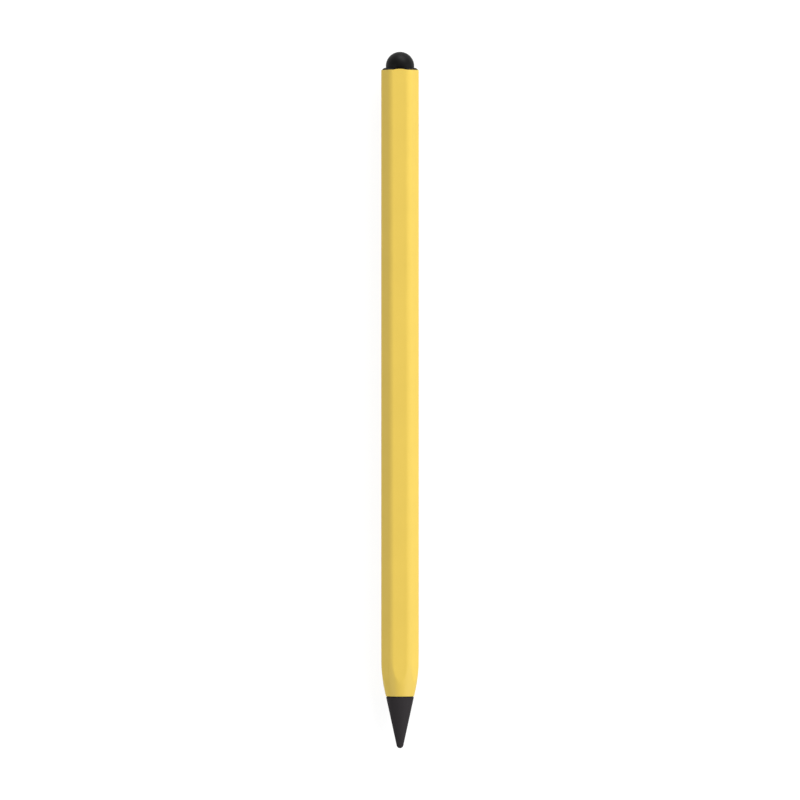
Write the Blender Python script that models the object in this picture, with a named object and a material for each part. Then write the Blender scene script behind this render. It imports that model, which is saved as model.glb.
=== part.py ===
"""Stylus pen lying on one flat of its hexagonal barrel.

A cone nib screws onto a sprung stem in the nose, and a soft round tip on the back end is a push button.
The works between them are a force sensor, a board, a charging coil with magnets, a cell and a switch.
The pen's axis runs along Y with the nib towards -Y, and stations count from the nib's point.
"""

import math

import bmesh
import bpy
from mathutils import Matrix, Vector

MM = 0.001

# Clearances
FIT = 0.10 * MM            # radial, between a seated piece and its bore
RUN = 0.08 * MM            # radial, between a sliding piece and its guide
SEAT = 0.05 * MM           # between two faces that rest on each other

# Barrel
ACROSS_FLATS = 8.18 * MM
CORNER_RADIUS = 1.60 * MM
BARREL_LENGTH = 149.28 * MM
BARREL_WALL = 0.79 * MM    # at the middle of a flat
NOSE_LENGTH = 8.88 * MM
NOSE_END_RADIUS = 3.35 * MM
NOSE_WALL = 0.90 * MM      # at the nose's end
NOSE_BORE_LENGTH = 11.63 * MM
NOSE_RECESS_WALL = 0.22 * MM
NOSE_RECESS_DEPTH = 1.05 * MM # for the stem's shoulder
MOUTH_CHAMFER = 0.50 * MM
CREST_WIDTH = 3.30 * MM
CREST_HEIGHT = 0.21 * MM
CREST_REVEAL = 0.02 * MM   # how far the crest's face lies under the flat
CREST_ROOT = 0.20 * MM     # how far the crest reaches down into the wall

# Nib and stem
NIB_LENGTH = 12.20 * MM
NIB_TIP_RADIUS = 0.83 * MM
NIB_STEP = 0.072 * MM      # how far the nib's edge lies inside the nose's edge
NIB_EDGE = 0.08 * MM
NIB_SOCKET_DEPTH = 6.90 * MM
NIB_SOCKET_POINT = 0.64 * MM
NIB_TRAVEL = 0.12 * MM
STEM_RADIUS = 1.20 * MM
STEM_EDGE = 0.15 * MM
STEM_SHOULDER = 0.90 * MM
STEM_OVERRUN = 0.90 * MM   # past the sensor housing's front wall
SEAL_SECTION = 0.60 * MM   # thickness of both sealing rings

# Nose bushing, tilt electrode, stop collar and springs
BUSHING_LENGTH = 8.80 * MM # in the nose bore
BUSHING_FLANGE = 1.00 * MM
TILT_LENGTH = 4.00 * MM
TILT_THICKNESS = 0.25 * MM
COLLAR_LENGTH = 1.20 * MM
COLLAR_WIDTH = 1.20 * MM
SPRING_WIRE = 0.30 * MM
SPRING_GAP = 0.30 * MM     # radial, between a spring and the rod inside it
SPRING_PITCH = 0.74 * MM
NIB_SPRING_LENGTH = 4.00 * MM
BUTTON_SPRING_LENGTH = 3.26 * MM

# Force sensor in its housing
HOUSING_WALL = 0.80 * MM
HOUSING_SKIN = 0.60 * MM
HOUSING_RIM = 0.40 * MM    # past the sensor's board
PAD_THICKNESS = 0.70 * MM
PAD_RADIUS = 1.60 * MM
SENSOR_THICKNESS = 0.50 * MM
SENSOR_RADIUS = 1.70 * MM
DISC_BOARD = 0.60 * MM     # thickness of both round boards

# Chassis and main board
CHASSIS_LENGTH = 63.80 * MM
CHASSIS_END_PLATE = 1.20 * MM
DECK_TOP = 0.35 * MM       # above the pen's axis
DECK_THICKNESS = 1.40 * MM
BOARD_THICKNESS = 0.80 * MM
BOARD_MARGIN = 0.80 * MM   # from each end of the chassis
BOARD_SIDE = 0.35 * MM     # from the bore on each side
SCREW_INSET = 6.00 * MM    # from each end of the chassis
SCREW_RADIUS = 0.50 * MM
SCREW_HEAD_RADIUS = 0.90 * MM
SCREW_HEAD_HEIGHT = 0.50 * MM
SCREW_HEAD_DRAFT = 0.135 * MM
SCREW_BITE = 1.00 * MM     # into the deck
CHIP_HEIGHT = 0.80 * MM
CRYSTAL_HEIGHT = 0.60 * MM
CHIP_SPACING = 2.50 * MM
CONTROLLER_WIDTH = 3.40 * MM
CONTROLLER_LENGTH = 5.00 * MM
CRYSTAL_WIDTH = 1.60 * MM
CRYSTAL_LENGTH = 2.00 * MM
DRIVER_WIDTH = 2.80 * MM
DRIVER_LENGTH = 3.20 * MM
INDUCTOR_WIDTH = 2.60 * MM
INDUCTOR_LENGTH = 2.60 * MM
CHARGER_WIDTH = 2.60 * MM
CHARGER_LENGTH = 3.00 * MM
FLEX_THICKNESS = 0.12 * MM
FLEX_WIDTH = 1.60 * MM
FLEX_LANDING = 3.00 * MM
FLEX_END = 0.75 * MM       # of the back cable, over the pen's axis

# Charging coil and magnets under the deck
MAGNET_LENGTH = 9.00 * MM
MAGNET_HEIGHT = 1.30 * MM
MAGNET_SPACING = 0.60 * MM
FERRITE_THICKNESS = 0.35 * MM
FERRITE_BAR_WIDTH = 1.40 * MM
COIL_HEIGHT = 0.95 * MM
COIL_SIDE = 0.15 * MM      # from the bore on each side
COIL_TAIL_WIDTH = 1.20 * MM
COIL_TAIL_THICKNESS = 0.30 * MM
COIL_END = 1.60 * MM       # of the coil that stands out past the ferrite plate

# Cell
FOAM_THICKNESS = 0.36 * MM
FOAM_INSET = 2.00 * MM     # from each end of the cell
FOAM_SPREAD = math.radians(150)
SLEEVE_THICKNESS = 0.14 * MM
CELL_BUTTON_LENGTH = 0.50 * MM
CELL_BUTTON_RADIUS = 1.10 * MM
TAB_THICKNESS = 0.20 * MM
TAB_WIDTH = 3.00 * MM
LEAD_RADIUS = 0.20 * MM
LEAD_SPACE = 2.00 * MM     # between the chassis and the cell's front tab
LEAD_STUB = 0.60 * MM      # straight run at each end of a bend
LEAD_LANDING = 1.50 * MM   # soldered on the board
LEAD_TURN = math.radians(32)
TAB_SPACE = 0.70 * MM      # between the cell's back and the pad behind it
REAR_PAD_LENGTH = 3.00 * MM

# Switch, plunger, end cap and soft tip
HOLDER_WALL = 0.70 * MM
HOLDER_RIM = 1.00 * MM     # past the switch's board
SWITCH_SIDE = 3.00 * MM
SWITCH_HEIGHT = 1.40 * MM
ACTUATOR_RADIUS = 0.60 * MM
ACTUATOR_REACH = 0.40 * MM
ACTUATOR_ROOT = 0.35 * MM
PIN_RADIUS = 1.20 * MM
PLUNGER_FLANGE = 0.80 * MM # thickness, and width past the neck
PLUG_LENGTH = 5.00 * MM
SEAL_INSET = 3.00 * MM     # from the rim
CAP_HEIGHT = 0.48 * MM
CAP_INSET = 0.10 * MM
CAP_BEVEL = 0.55 * MM
CAP_LIP = 0.36 * MM
TIP_COLLAR = 0.485 * MM
TIP_SINK = 0.05 * MM
TIP_EDGE = 0.06 * MM
RUBBER_WALL = 0.95 * MM
HEAD_LIP = 0.55 * MM
HEAD_RAISE = 0.30 * MM     # of the plunger's head over the tip's centre
BUTTON_TRAVEL = 0.20 * MM

# Fineness of the facets
OUTER_STEPS = 36
INNER_STEPS = 20
CORNER_STEPS = 6
NOSE_STEPS = 9
TIP_STEPS = 6
RING_STEPS = 8
COIL_STEPS = 6
SPRING_STEPS = 10
SHARP_ANGLE = math.radians(35)
WELD = 1e-7
NOSE_RELIEF = 0.01 * MM

# Radii, from the barrel inwards
APOTHEM = ACROSS_FLATS / 2
CORNER_REACH = (APOTHEM - CORNER_RADIUS) / math.cos(math.pi / 6) + CORNER_RADIUS
BORE = APOTHEM - BARREL_WALL
SEATED = BORE - FIT
POCKET = SEATED - HOUSING_SKIN
NOSE_BORE = NOSE_END_RADIUS - NOSE_WALL
NOSE_RECESS = NOSE_END_RADIUS - NOSE_RECESS_WALL
BUSHING_RADIUS = NOSE_BORE - FIT
STEM_GUIDE = STEM_RADIUS + RUN
NIB_BASE_RADIUS = NOSE_END_RADIUS - NIB_STEP
SLEEVE_RADIUS = SEATED - FOAM_THICKNESS - SEAT
CELL_RADIUS = SLEEVE_RADIUS - SLEEVE_THICKNESS - SEAT
CAP_TOP_RADIUS = CORNER_REACH - CAP_INSET - CAP_BEVEL
TIP_RADIUS = CAP_TOP_RADIUS - CAP_LIP - RUN
HEAD_RADIUS = TIP_RADIUS - RUBBER_WALL
NECK_RADIUS = HEAD_RADIUS - HEAD_LIP
PLUNGER_FLANGE_RADIUS = NECK_RADIUS + PLUNGER_FLANGE
CREST_OUTER = APOTHEM - CREST_REVEAL
CREST_INNER = APOTHEM - BARREL_WALL + MOUTH_CHAMFER + SEAT

# Stations, from the nib's point backwards
NOSE_END = NIB_LENGTH + NIB_TRAVEL + SEAT
NOSE_SHOULDER = NOSE_END + NOSE_BORE_LENGTH
RIM = NOSE_END + BARREL_LENGTH
BUSHING_BACK = NOSE_SHOULDER + SEAT + BUSHING_FLANGE
COLLAR_FRONT = BUSHING_BACK + SEAT
COLLAR_BACK = COLLAR_FRONT + COLLAR_LENGTH
HOUSING_FRONT = COLLAR_BACK + NIB_SPRING_LENGTH + 2 * SEAT
STEM_BACK = HOUSING_FRONT + HOUSING_WALL + STEM_OVERRUN
PAD_FRONT = STEM_BACK + SEAT
SENSOR_FRONT = PAD_FRONT + PAD_THICKNESS + NIB_TRAVEL + SEAT
SENSOR_BOARD_FRONT = SENSOR_FRONT + SENSOR_THICKNESS + SEAT
SENSOR_BOARD_BACK = SENSOR_BOARD_FRONT + DISC_BOARD
HOUSING_BACK = SENSOR_BOARD_BACK + HOUSING_RIM
CHASSIS_FRONT = HOUSING_BACK + SEAT

# Stations, from the back end forwards
CAP_TOP = RIM + CAP_HEIGHT
TIP_FOOT = CAP_TOP - TIP_SINK
TIP_CENTRE = CAP_TOP + TIP_COLLAR
PEN_LENGTH = TIP_CENTRE + TIP_RADIUS
RECESS_FLOOR = TIP_FOOT - BUTTON_TRAVEL - SEAT
PLUG_FRONT = RIM - PLUG_LENGTH
FLANGE_BACK = PLUG_FRONT - SEAT
FLANGE_FRONT = FLANGE_BACK - PLUNGER_FLANGE
HOLDER_BACK = FLANGE_FRONT - BUTTON_SPRING_LENGTH - 2 * SEAT
SWITCH_BACK = HOLDER_BACK - HOLDER_WALL - SEAT
ACTUATOR_BACK = SWITCH_BACK + ACTUATOR_REACH
PIN_FRONT = ACTUATOR_BACK + SEAT
SWITCH_FRONT = SWITCH_BACK - SWITCH_HEIGHT
SWITCH_BOARD_BACK = SWITCH_FRONT - SEAT
SWITCH_BOARD_FRONT = SWITCH_BOARD_BACK - DISC_BOARD
HOLDER_FRONT = SWITCH_BOARD_FRONT - HOLDER_RIM
REAR_PAD_BACK = HOLDER_FRONT - SEAT
REAR_PAD_FRONT = REAR_PAD_BACK - REAR_PAD_LENGTH
CELL_BACK = REAR_PAD_FRONT - TAB_SPACE
CHASSIS_BACK = CHASSIS_FRONT + CHASSIS_LENGTH
FRONT_TAB = CHASSIS_BACK + LEAD_SPACE
CELL_FRONT = FRONT_TAB + TAB_THICKNESS + SEAT + CELL_BUTTON_LENGTH

# Heights in the bore, from the pen's axis
DECK_BOTTOM = DECK_TOP - DECK_THICKNESS
BOARD_BOTTOM = DECK_TOP + SEAT
BOARD_TOP = BOARD_BOTTOM + BOARD_THICKNESS
CHIP_BOTTOM = BOARD_TOP + SEAT
CHIP_TOP = CHIP_BOTTOM + CHIP_HEIGHT
FERRITE_TOP = DECK_BOTTOM - SEAT
COIL_TOP = FERRITE_TOP - FERRITE_THICKNESS - SEAT
COIL_BOTTOM = COIL_TOP - COIL_HEIGHT
BOARD_FRONT = CHASSIS_FRONT + BOARD_MARGIN
BOARD_BACK = CHASSIS_BACK - BOARD_MARGIN


def linear(code):
    """Scene-linear colour for a hexadecimal display colour."""
    channels = [int(code[i:i + 2], 16) / 255 for i in (0, 2, 4)]
    return [c / 12.92 if c <= 0.04045 else ((c + 0.055) / 1.055) ** 2.4 for c in channels] + [1.0]


def material(name, colour, roughness, metallic=0.0):
    """Principled material of one plain colour."""
    made = bpy.data.materials.new(name)
    made.use_nodes = True
    shader = made.node_tree.nodes["Principled BSDF"]
    shader.inputs["Base Color"].default_value = linear(colour)
    shader.inputs["Roughness"].default_value = roughness
    shader.inputs["Metallic"].default_value = metallic
    return made


def half_width(height):
    """Half the width left in the seated circle at a height over the axis."""
    return math.sqrt(SEATED ** 2 - height ** 2)


def arc(centre, radius, start, end, steps):
    """Outline points (station, radius) on a circle centred on the axis."""
    angles = [start + (end - start) * i / steps for i in range(steps + 1)]
    return [(centre + radius * math.cos(a), radius * math.sin(a)) for a in angles]


def hexagon(apothem, corner):
    """Rounded hexagon of (x, z) points with flats above and below and corners at the sides."""
    reach = (apothem - corner) / math.cos(math.pi / 6)
    points = []
    for side in range(6):
        middle = math.radians(60 * side)
        for step in range(CORNER_STEPS + 1):
            turn = middle + math.radians(60 * step / CORNER_STEPS - 30)
            x = reach * math.cos(middle) + corner * math.cos(turn)
            z = reach * math.sin(middle) + corner * math.sin(turn)
            points.append((x, z))
    return points


def stadium(half, start, end):
    """Slot outline of (x, station) points with round ends."""
    points = []
    for middle, turn in ((end - half, 0.0), (start + half, math.pi)):
        for step in range(COIL_STEPS + 1):
            angle = turn + math.pi * step / COIL_STEPS
            points.append((half * math.cos(angle), middle + half * math.sin(angle)))
    return points


def finished(bm, name, smooth):
    """Mesh from a bmesh, with its faces turned outwards."""
    bmesh.ops.recalc_face_normals(bm, faces=bm.faces[:])
    for face in bm.faces:
        face.smooth = smooth
    mesh = bpy.data.meshes.new(name)
    bm.to_mesh(mesh)
    bm.free()
    if smooth:
        mesh.set_sharp_from_angle(angle=SHARP_ANGLE)
    return mesh


def turned(name, outline, steps=INNER_STEPS):
    """Solid of revolution about the pen's axis from a closed outline of (station, radius) points."""
    bm = bmesh.new()
    points = [bm.verts.new((radius, station, 0.0)) for station, radius in outline]
    edges = []
    for first, second in zip(points, points[1:] + points[:1]):
        if max(first.co.x, second.co.x) > WELD:
            edges.append(bm.edges.new((first, second)))
    bmesh.ops.spin(
        bm, geom=points + edges, cent=(0, 0, 0), axis=(0, 1, 0), angle=math.tau, steps=steps, use_merge=True
    )
    bmesh.ops.remove_doubles(bm, verts=bm.verts[:], dist=WELD)
    return finished(bm, name, True)


def extruded(name, points, offset, smooth=False):
    """Prism from a flat outline of 3-D points, pushed out along an offset."""
    bm = bmesh.new()
    base = bm.faces.new([bm.verts.new(point) for point in points])
    pushed = bmesh.ops.extrude_face_region(bm, geom=[base])
    moved = [item for item in pushed["geom"] if isinstance(item, bmesh.types.BMVert)]
    bmesh.ops.translate(bm, vec=offset, verts=moved)
    return finished(bm, name, smooth)


def along_pen(name, outline, start, end, smooth=False):
    """Prism along the pen from an outline of (x, z) points."""
    return extruded(name, [(x, start, z) for x, z in outline], (0, end - start, 0), smooth)


def across_pen(name, outline, half):
    """Prism across the pen from an outline of (station, z) points."""
    return extruded(name, [(-half, station, z) for station, z in outline], (2 * half, 0, 0))


def block(name, x, station, z):
    """Box between the pairs of limits x, station and z."""
    corners = [(x[0], station[0]), (x[1], station[0]), (x[1], station[1]), (x[0], station[1])]
    return extruded(name, [(*corner, z[0]) for corner in corners], (0, 0, z[1] - z[0]))


def ring(name, start, inner):
    """Sealing ring whose section begins at a station and whose hole has the inner radius."""
    half = SEAL_SECTION / 2
    centre = (start + half, inner + half)
    angles = [math.tau * i / RING_STEPS for i in range(RING_STEPS)]
    outline = [(centre[0] + half * math.cos(a), centre[1] + half * math.sin(a)) for a in angles]
    return turned(name, outline)


def tube(name, points, radius):
    """Round wire along a path of points, with closed ends."""
    curve = bpy.data.curves.new(name, "CURVE")
    curve.dimensions = "3D"
    curve.bevel_depth = radius
    curve.bevel_resolution = 1
    curve.use_fill_caps = True
    spline = curve.splines.new("POLY")
    spline.points.add(len(points) - 1)
    for target, point in zip(spline.points, points):
        target.co = (*point, 1.0)
    return curve


def helix(name, start, end, inner):
    """Compression spring between two stations, around a rod of the inner radius."""
    half = SPRING_WIRE / 2
    radius = inner + SPRING_GAP + half
    turns = max(2, round((end - start - SPRING_WIRE) / SPRING_PITCH))
    count = turns * SPRING_STEPS
    rise = (end - start - 2 * SPRING_WIRE) / count
    points = []
    for i in range(count + 1):
        angle = math.tau * i / SPRING_STEPS
        points.append((radius * math.cos(angle), start + SPRING_WIRE + rise * i, radius * math.sin(angle)))
    return tube(name, points, half)


def ribbon(name, path, half):
    """Flat cable whose middle follows a path of (station, z) points."""
    upper = []
    lower = []
    for i, point in enumerate(path):
        here = Vector(point)
        legs = []
        if i > 0:
            legs.append((here - Vector(path[i - 1])).normalized())
        if i + 1 < len(path):
            legs.append((Vector(path[i + 1]) - here).normalized())
        mean = sum(legs, Vector((0, 0))).normalized()
        side = Vector((-mean.y, mean.x)) * (FLEX_THICKNESS / 2) / mean.dot(legs[0])
        upper.append(here + side)
        lower.append(here - side)
    return across_pen(name, [tuple(p) for p in upper + lower[::-1]], half)


def place_of(empty):
    """Point of a carrier on the pen, counted from the pen's own empty."""
    place = Vector((0, 0, 0))
    while empty.parent:
        place += empty.location
        empty = empty.parent
    return place


def add(name, data, paint, parent, origin):
    """Object for one piece, with its origin moved to a point given on the pen."""
    data.transform(Matrix.Translation(-Vector(origin)))
    piece = bpy.data.objects.new(name, data)
    bpy.context.scene.collection.objects.link(piece)
    piece.parent = parent
    piece.location = Vector(origin) - place_of(parent)
    piece.data.materials.append(paint)
    return piece


def shape(piece, label, data, operation):
    """Boolean of a piece with a hidden form that is modelled in the same place."""
    form = bpy.data.objects.new(f"{piece.name}_{label}", data)
    bpy.context.scene.collection.objects.link(form)
    form.parent = piece.parent
    form.location = -place_of(piece.parent)
    form.hide_render = True
    form.display_type = "WIRE"
    modifier = piece.modifiers.new(label, "BOOLEAN")
    modifier.operation = operation
    modifier.solver = "EXACT"
    modifier.object = form


def carrier(name, parent, location):
    """Empty that carries the pieces of one moving group, on the pen's axis."""
    empty = bpy.data.objects.new(name, None)
    bpy.context.scene.collection.objects.link(empty)
    empty.parent = parent
    empty.location = location
    return empty


def build_barrel(pen, paint):
    """Six-sided tube with a turned nose, a stepped bore and a low crest on the rim of the upper flat."""
    start = NOSE_END + NOSE_LENGTH
    reach = CORNER_REACH + NOSE_RELIEF
    drop = reach - NOSE_END_RADIUS
    sweep = (NOSE_LENGTH ** 2 + drop ** 2) / (2 * drop)
    margin = NOSE_LENGTH / NOSE_STEPS
    form = []
    for i in range(-1, NOSE_STEPS + 1):
        station = NOSE_END + margin * i
        form.append((station, reach - sweep + math.sqrt(sweep ** 2 - (start - station) ** 2)))
    form += [(RIM + margin, reach), (RIM + margin, 0.0), (NOSE_END - margin, 0.0)]
    bore = [
        (NOSE_END - margin, 0.0),
        (NOSE_END - margin, NOSE_RECESS),
        (NOSE_END + NOSE_RECESS_DEPTH, NOSE_RECESS),
        (NOSE_END + NOSE_RECESS_DEPTH, NOSE_BORE),
        (NOSE_SHOULDER, NOSE_BORE),
        (NOSE_SHOULDER, BORE),
        (RIM - MOUTH_CHAMFER, BORE),
        (RIM + MOUTH_CHAMFER, BORE + 2 * MOUTH_CHAMFER),
        (RIM + MOUTH_CHAMFER, 0.0),
    ]
    half = CREST_WIDTH / 2
    bow = (half ** 2 + CREST_HEIGHT ** 2) / (2 * CREST_HEIGHT)
    crest = [(half, RIM - CREST_ROOT), (-half, RIM - CREST_ROOT)]
    for i in range(NOSE_STEPS + 1):
        x = half * (2 * i / NOSE_STEPS - 1)
        crest.append((x, RIM + CREST_HEIGHT - bow + math.sqrt(bow ** 2 - x ** 2)))
    body = along_pen("barrel", hexagon(APOTHEM, CORNER_RADIUS), NOSE_END, RIM)
    barrel = add("barrel", body, paint["yellow_plastic"], pen, (0, NOSE_END, 0))
    shape(barrel, "nose_form", turned("nose_form", form, OUTER_STEPS), "INTERSECT")
    shape(barrel, "bore_form", turned("bore_form", bore, OUTER_STEPS), "DIFFERENCE")
    outline = [(x, station, CREST_INNER) for x, station in crest]
    shape(barrel, "crest", extruded("crest", outline, (0, 0, CREST_OUTER - CREST_INNER)), "UNION")


def build_nib(stem_slide, nib_turn, paint):
    """Hollow cone nib, the ring that seals and holds it, and the sprung stem it screws onto."""
    reach = math.hypot(NIB_LENGTH - NIB_TIP_RADIUS, NIB_BASE_RADIUS)
    slope = math.atan2(NIB_BASE_RADIUS, NIB_LENGTH - NIB_TIP_RADIUS) - math.asin(NIB_TIP_RADIUS / reach)
    pocket_radius = STEM_RADIUS + SEAL_SECTION + 2 * SEAT
    pocket_front = NIB_LENGTH - SEAL_SECTION - 2 * SEAT
    socket_front = NIB_LENGTH - NIB_SOCKET_DEPTH
    nib = arc(NIB_TIP_RADIUS, NIB_TIP_RADIUS, math.pi, math.pi / 2 + slope, TIP_STEPS)
    nib += [
        (NIB_LENGTH - NIB_EDGE, NIB_BASE_RADIUS - NIB_EDGE * math.tan(slope)),
        (NIB_LENGTH, NIB_BASE_RADIUS - NIB_EDGE),
        (NIB_LENGTH, pocket_radius),
        (pocket_front, pocket_radius),
        (pocket_front, STEM_GUIDE),
        (socket_front, STEM_GUIDE),
        (socket_front - NIB_SOCKET_POINT, 0.0),
    ]
    add("nib", turned("nib", nib, OUTER_STEPS), paint["nib_plastic"], nib_turn, (0, NIB_LENGTH, 0))
    seal = ring("nib_seal", pocket_front + SEAT, STEM_RADIUS + SEAT)
    add("nib_seal", seal, paint["silicone"], nib_turn, (0, NIB_LENGTH, 0))
    stem_front = socket_front + SEAT
    shoulder = NIB_LENGTH + SEAT
    stem = [
        (stem_front, 0.0),
        (stem_front, STEM_RADIUS - STEM_EDGE),
        (stem_front + STEM_EDGE, STEM_RADIUS),
        (shoulder, STEM_RADIUS),
        (shoulder, NOSE_RECESS - RUN),
        (shoulder + STEM_SHOULDER, NOSE_RECESS - RUN),
        (shoulder + STEM_SHOULDER, STEM_RADIUS),
        (STEM_BACK, STEM_RADIUS),
        (STEM_BACK, 0.0),
    ]
    add("nib_stem", turned("nib_stem", stem), paint["steel"], stem_slide, (0, shoulder, 0))
    collar = [
        (COLLAR_FRONT, STEM_RADIUS + SEAT),
        (COLLAR_FRONT, STEM_RADIUS + COLLAR_WIDTH),
        (COLLAR_BACK, STEM_RADIUS + COLLAR_WIDTH),
        (COLLAR_BACK, STEM_RADIUS + SEAT),
    ]
    add("stop_collar", turned("stop_collar", collar), paint["brass"], stem_slide, (0, COLLAR_FRONT, 0))
    pad = [
        (PAD_FRONT, 0.0),
        (PAD_FRONT, PAD_RADIUS),
        (PAD_FRONT + PAD_THICKNESS, PAD_RADIUS),
        (PAD_FRONT + PAD_THICKNESS, 0.0),
    ]
    add("sensor_pad", turned("sensor_pad", pad), paint["silicone"], stem_slide, (0, PAD_FRONT, 0))


def build_nose(pen, paint):
    """Bushing that guides the stem, with the ring electrode that reads tilt in a groove around it."""
    front = NOSE_SHOULDER - BUSHING_LENGTH
    ring_front = front + (BUSHING_LENGTH - TILT_LENGTH) / 2
    ring_back = ring_front + TILT_LENGTH
    groove = BUSHING_RADIUS - TILT_THICKNESS - SEAT
    bushing = [
        (front, STEM_GUIDE),
        (front, BUSHING_RADIUS),
        (ring_front - SEAT, BUSHING_RADIUS),
        (ring_front - SEAT, groove),
        (ring_back + SEAT, groove),
        (ring_back + SEAT, BUSHING_RADIUS),
        (NOSE_SHOULDER + SEAT, BUSHING_RADIUS),
        (NOSE_SHOULDER + SEAT, SEATED),
        (BUSHING_BACK, SEATED),
        (BUSHING_BACK, STEM_GUIDE),
    ]
    add("nose_bushing", turned("nose_bushing", bushing), paint["white_plastic"], pen, (0, front, 0))
    electrode = [
        (ring_front, BUSHING_RADIUS - TILT_THICKNESS),
        (ring_front, BUSHING_RADIUS),
        (ring_back, BUSHING_RADIUS),
        (ring_back, BUSHING_RADIUS - TILT_THICKNESS),
    ]
    add("tilt_electrode", turned("tilt_electrode", electrode), paint["copper"], pen, (0, ring_front, 0))


def build_sensor(pen, paint):
    """Spring behind the stop collar, and the cup that holds the force sensor and its round board."""
    spring = helix("nib_spring", COLLAR_BACK + SEAT, HOUSING_FRONT - SEAT, STEM_RADIUS)
    add("nib_spring", spring, paint["steel"], pen, (0, COLLAR_BACK, 0))
    housing = [
        (HOUSING_FRONT, STEM_GUIDE),
        (HOUSING_FRONT, SEATED),
        (HOUSING_BACK, SEATED),
        (HOUSING_BACK, POCKET),
        (HOUSING_FRONT + HOUSING_WALL, POCKET),
        (HOUSING_FRONT + HOUSING_WALL, STEM_GUIDE),
    ]
    cup = turned("sensor_housing", housing)
    add("sensor_housing", cup, paint["grey_plastic"], pen, (0, HOUSING_FRONT, 0))
    sensor = [
        (SENSOR_FRONT, 0.0),
        (SENSOR_FRONT, SENSOR_RADIUS),
        (SENSOR_FRONT + SENSOR_THICKNESS, SENSOR_RADIUS),
        (SENSOR_FRONT + SENSOR_THICKNESS, 0.0),
    ]
    add("force_sensor", turned("force_sensor", sensor), paint["steel"], pen, (0, SENSOR_FRONT, 0))
    board = [
        (SENSOR_BOARD_FRONT, 0.0),
        (SENSOR_BOARD_FRONT, POCKET - FIT),
        (SENSOR_BOARD_BACK, POCKET - FIT),
        (SENSOR_BOARD_BACK, 0.0),
    ]
    add("sensor_board", turned("sensor_board", board), paint["board_green"], pen, (0, SENSOR_BOARD_FRONT, 0))
    leg = SENSOR_BOARD_BACK + SEAT + FLEX_THICKNESS / 2
    height = CHIP_BOTTOM + FLEX_THICKNESS / 2
    path = [(leg, 0.0), (leg, height), (BOARD_FRONT + FLEX_LANDING, height)]
    flex = ribbon("sensor_flex", path, FLEX_WIDTH / 2)
    add("sensor_flex", flex, paint["flex_amber"], pen, (0, leg, 0))


def build_chassis(pen, paint):
    """Deck with end plates that carries the board above it and the coil and magnets below it."""
    low = math.asin(DECK_TOP / SEATED)
    angles = [math.pi - low + (math.pi + 2 * low) * i / INNER_STEPS for i in range(INNER_STEPS + 1)]
    outline = [(SEATED * math.cos(a), SEATED * math.sin(a)) for a in angles]
    body = along_pen("chassis", outline, CHASSIS_FRONT, CHASSIS_BACK)
    chassis = add("chassis", body, paint["grey_plastic"], pen, (0, CHASSIS_FRONT, 0))
    bay = (CHASSIS_FRONT + CHASSIS_END_PLATE, CHASSIS_BACK - CHASSIS_END_PLATE)
    under = block("bay", (-APOTHEM, APOTHEM), bay, (-APOTHEM, DECK_BOTTOM))
    shape(chassis, "bay", under, "DIFFERENCE")
    side = math.sqrt(BORE ** 2 - BOARD_TOP ** 2) - BOARD_SIDE
    board = add(
        "main_board",
        block("main_board", (-side, side), (BOARD_FRONT, BOARD_BACK), (BOARD_BOTTOM, BOARD_TOP)),
        paint["board_green"],
        pen,
        (0, BOARD_FRONT, BOARD_BOTTOM),
    )
    for label, station in (("front", CHASSIS_FRONT + SCREW_INSET), ("back", CHASSIS_BACK - SCREW_INSET)):
        build_board_screw(pen, paint, label, station, (chassis, board))
    build_chips(pen, paint)
    build_charging(pen, paint, chassis, bay)


def build_board_screw(pen, paint, label, station, pieces):
    """Pan-head screw that holds the board on the deck, with its hole through both."""
    reach = DECK_TOP - SCREW_BITE
    hole = [
        (reach - FIT, 0.0),
        (reach - FIT, SCREW_RADIUS + RUN),
        (CHIP_TOP, SCREW_RADIUS + RUN),
        (CHIP_TOP, 0.0),
    ]
    upright = Matrix.Translation((0, station, 0)) @ Matrix.Rotation(math.pi / 2, 4, "X")
    for piece in pieces:
        bored = turned(f"{label}_hole", hole)
        bored.transform(upright)
        shape(piece, f"{label}_hole", bored, "DIFFERENCE")
    screw = [
        (reach, 0.0),
        (reach, SCREW_RADIUS),
        (CHIP_BOTTOM, SCREW_RADIUS),
        (CHIP_BOTTOM, SCREW_HEAD_RADIUS),
        (CHIP_BOTTOM + SCREW_HEAD_HEIGHT, SCREW_HEAD_RADIUS - SCREW_HEAD_DRAFT),
        (CHIP_BOTTOM + SCREW_HEAD_HEIGHT, 0.0),
    ]
    body = turned(f"board_screw_{label}", screw)
    body.transform(upright)
    add(f"board_screw_{label}", body, paint["steel"], pen, (0, station, CHIP_BOTTOM))


def build_chips(pen, paint):
    """Packages soldered in a row along the top of the board, behind its front screw."""
    chips = (
        ("controller_chip", CONTROLLER_WIDTH, CONTROLLER_LENGTH, CHIP_HEIGHT, "chip_black"),
        ("clock_crystal", CRYSTAL_WIDTH, CRYSTAL_LENGTH, CRYSTAL_HEIGHT, "steel"),
        ("driver_chip", DRIVER_WIDTH, DRIVER_LENGTH, CHIP_HEIGHT, "chip_black"),
        ("power_inductor", INDUCTOR_WIDTH, INDUCTOR_LENGTH, CHIP_HEIGHT, "ferrite"),
        ("charger_chip", CHARGER_WIDTH, CHARGER_LENGTH, CHIP_HEIGHT, "chip_black"),
    )
    front = CHASSIS_FRONT + SCREW_INSET + SCREW_HEAD_RADIUS + CHIP_SPACING
    for name, width, length, height, look in chips:
        half = width / 2
        package = block(name, (-half, half), (front, front + length), (CHIP_BOTTOM, CHIP_BOTTOM + height))
        add(name, package, paint[look], pen, (0, front, CHIP_BOTTOM))
        front += length + CHIP_SPACING


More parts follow.
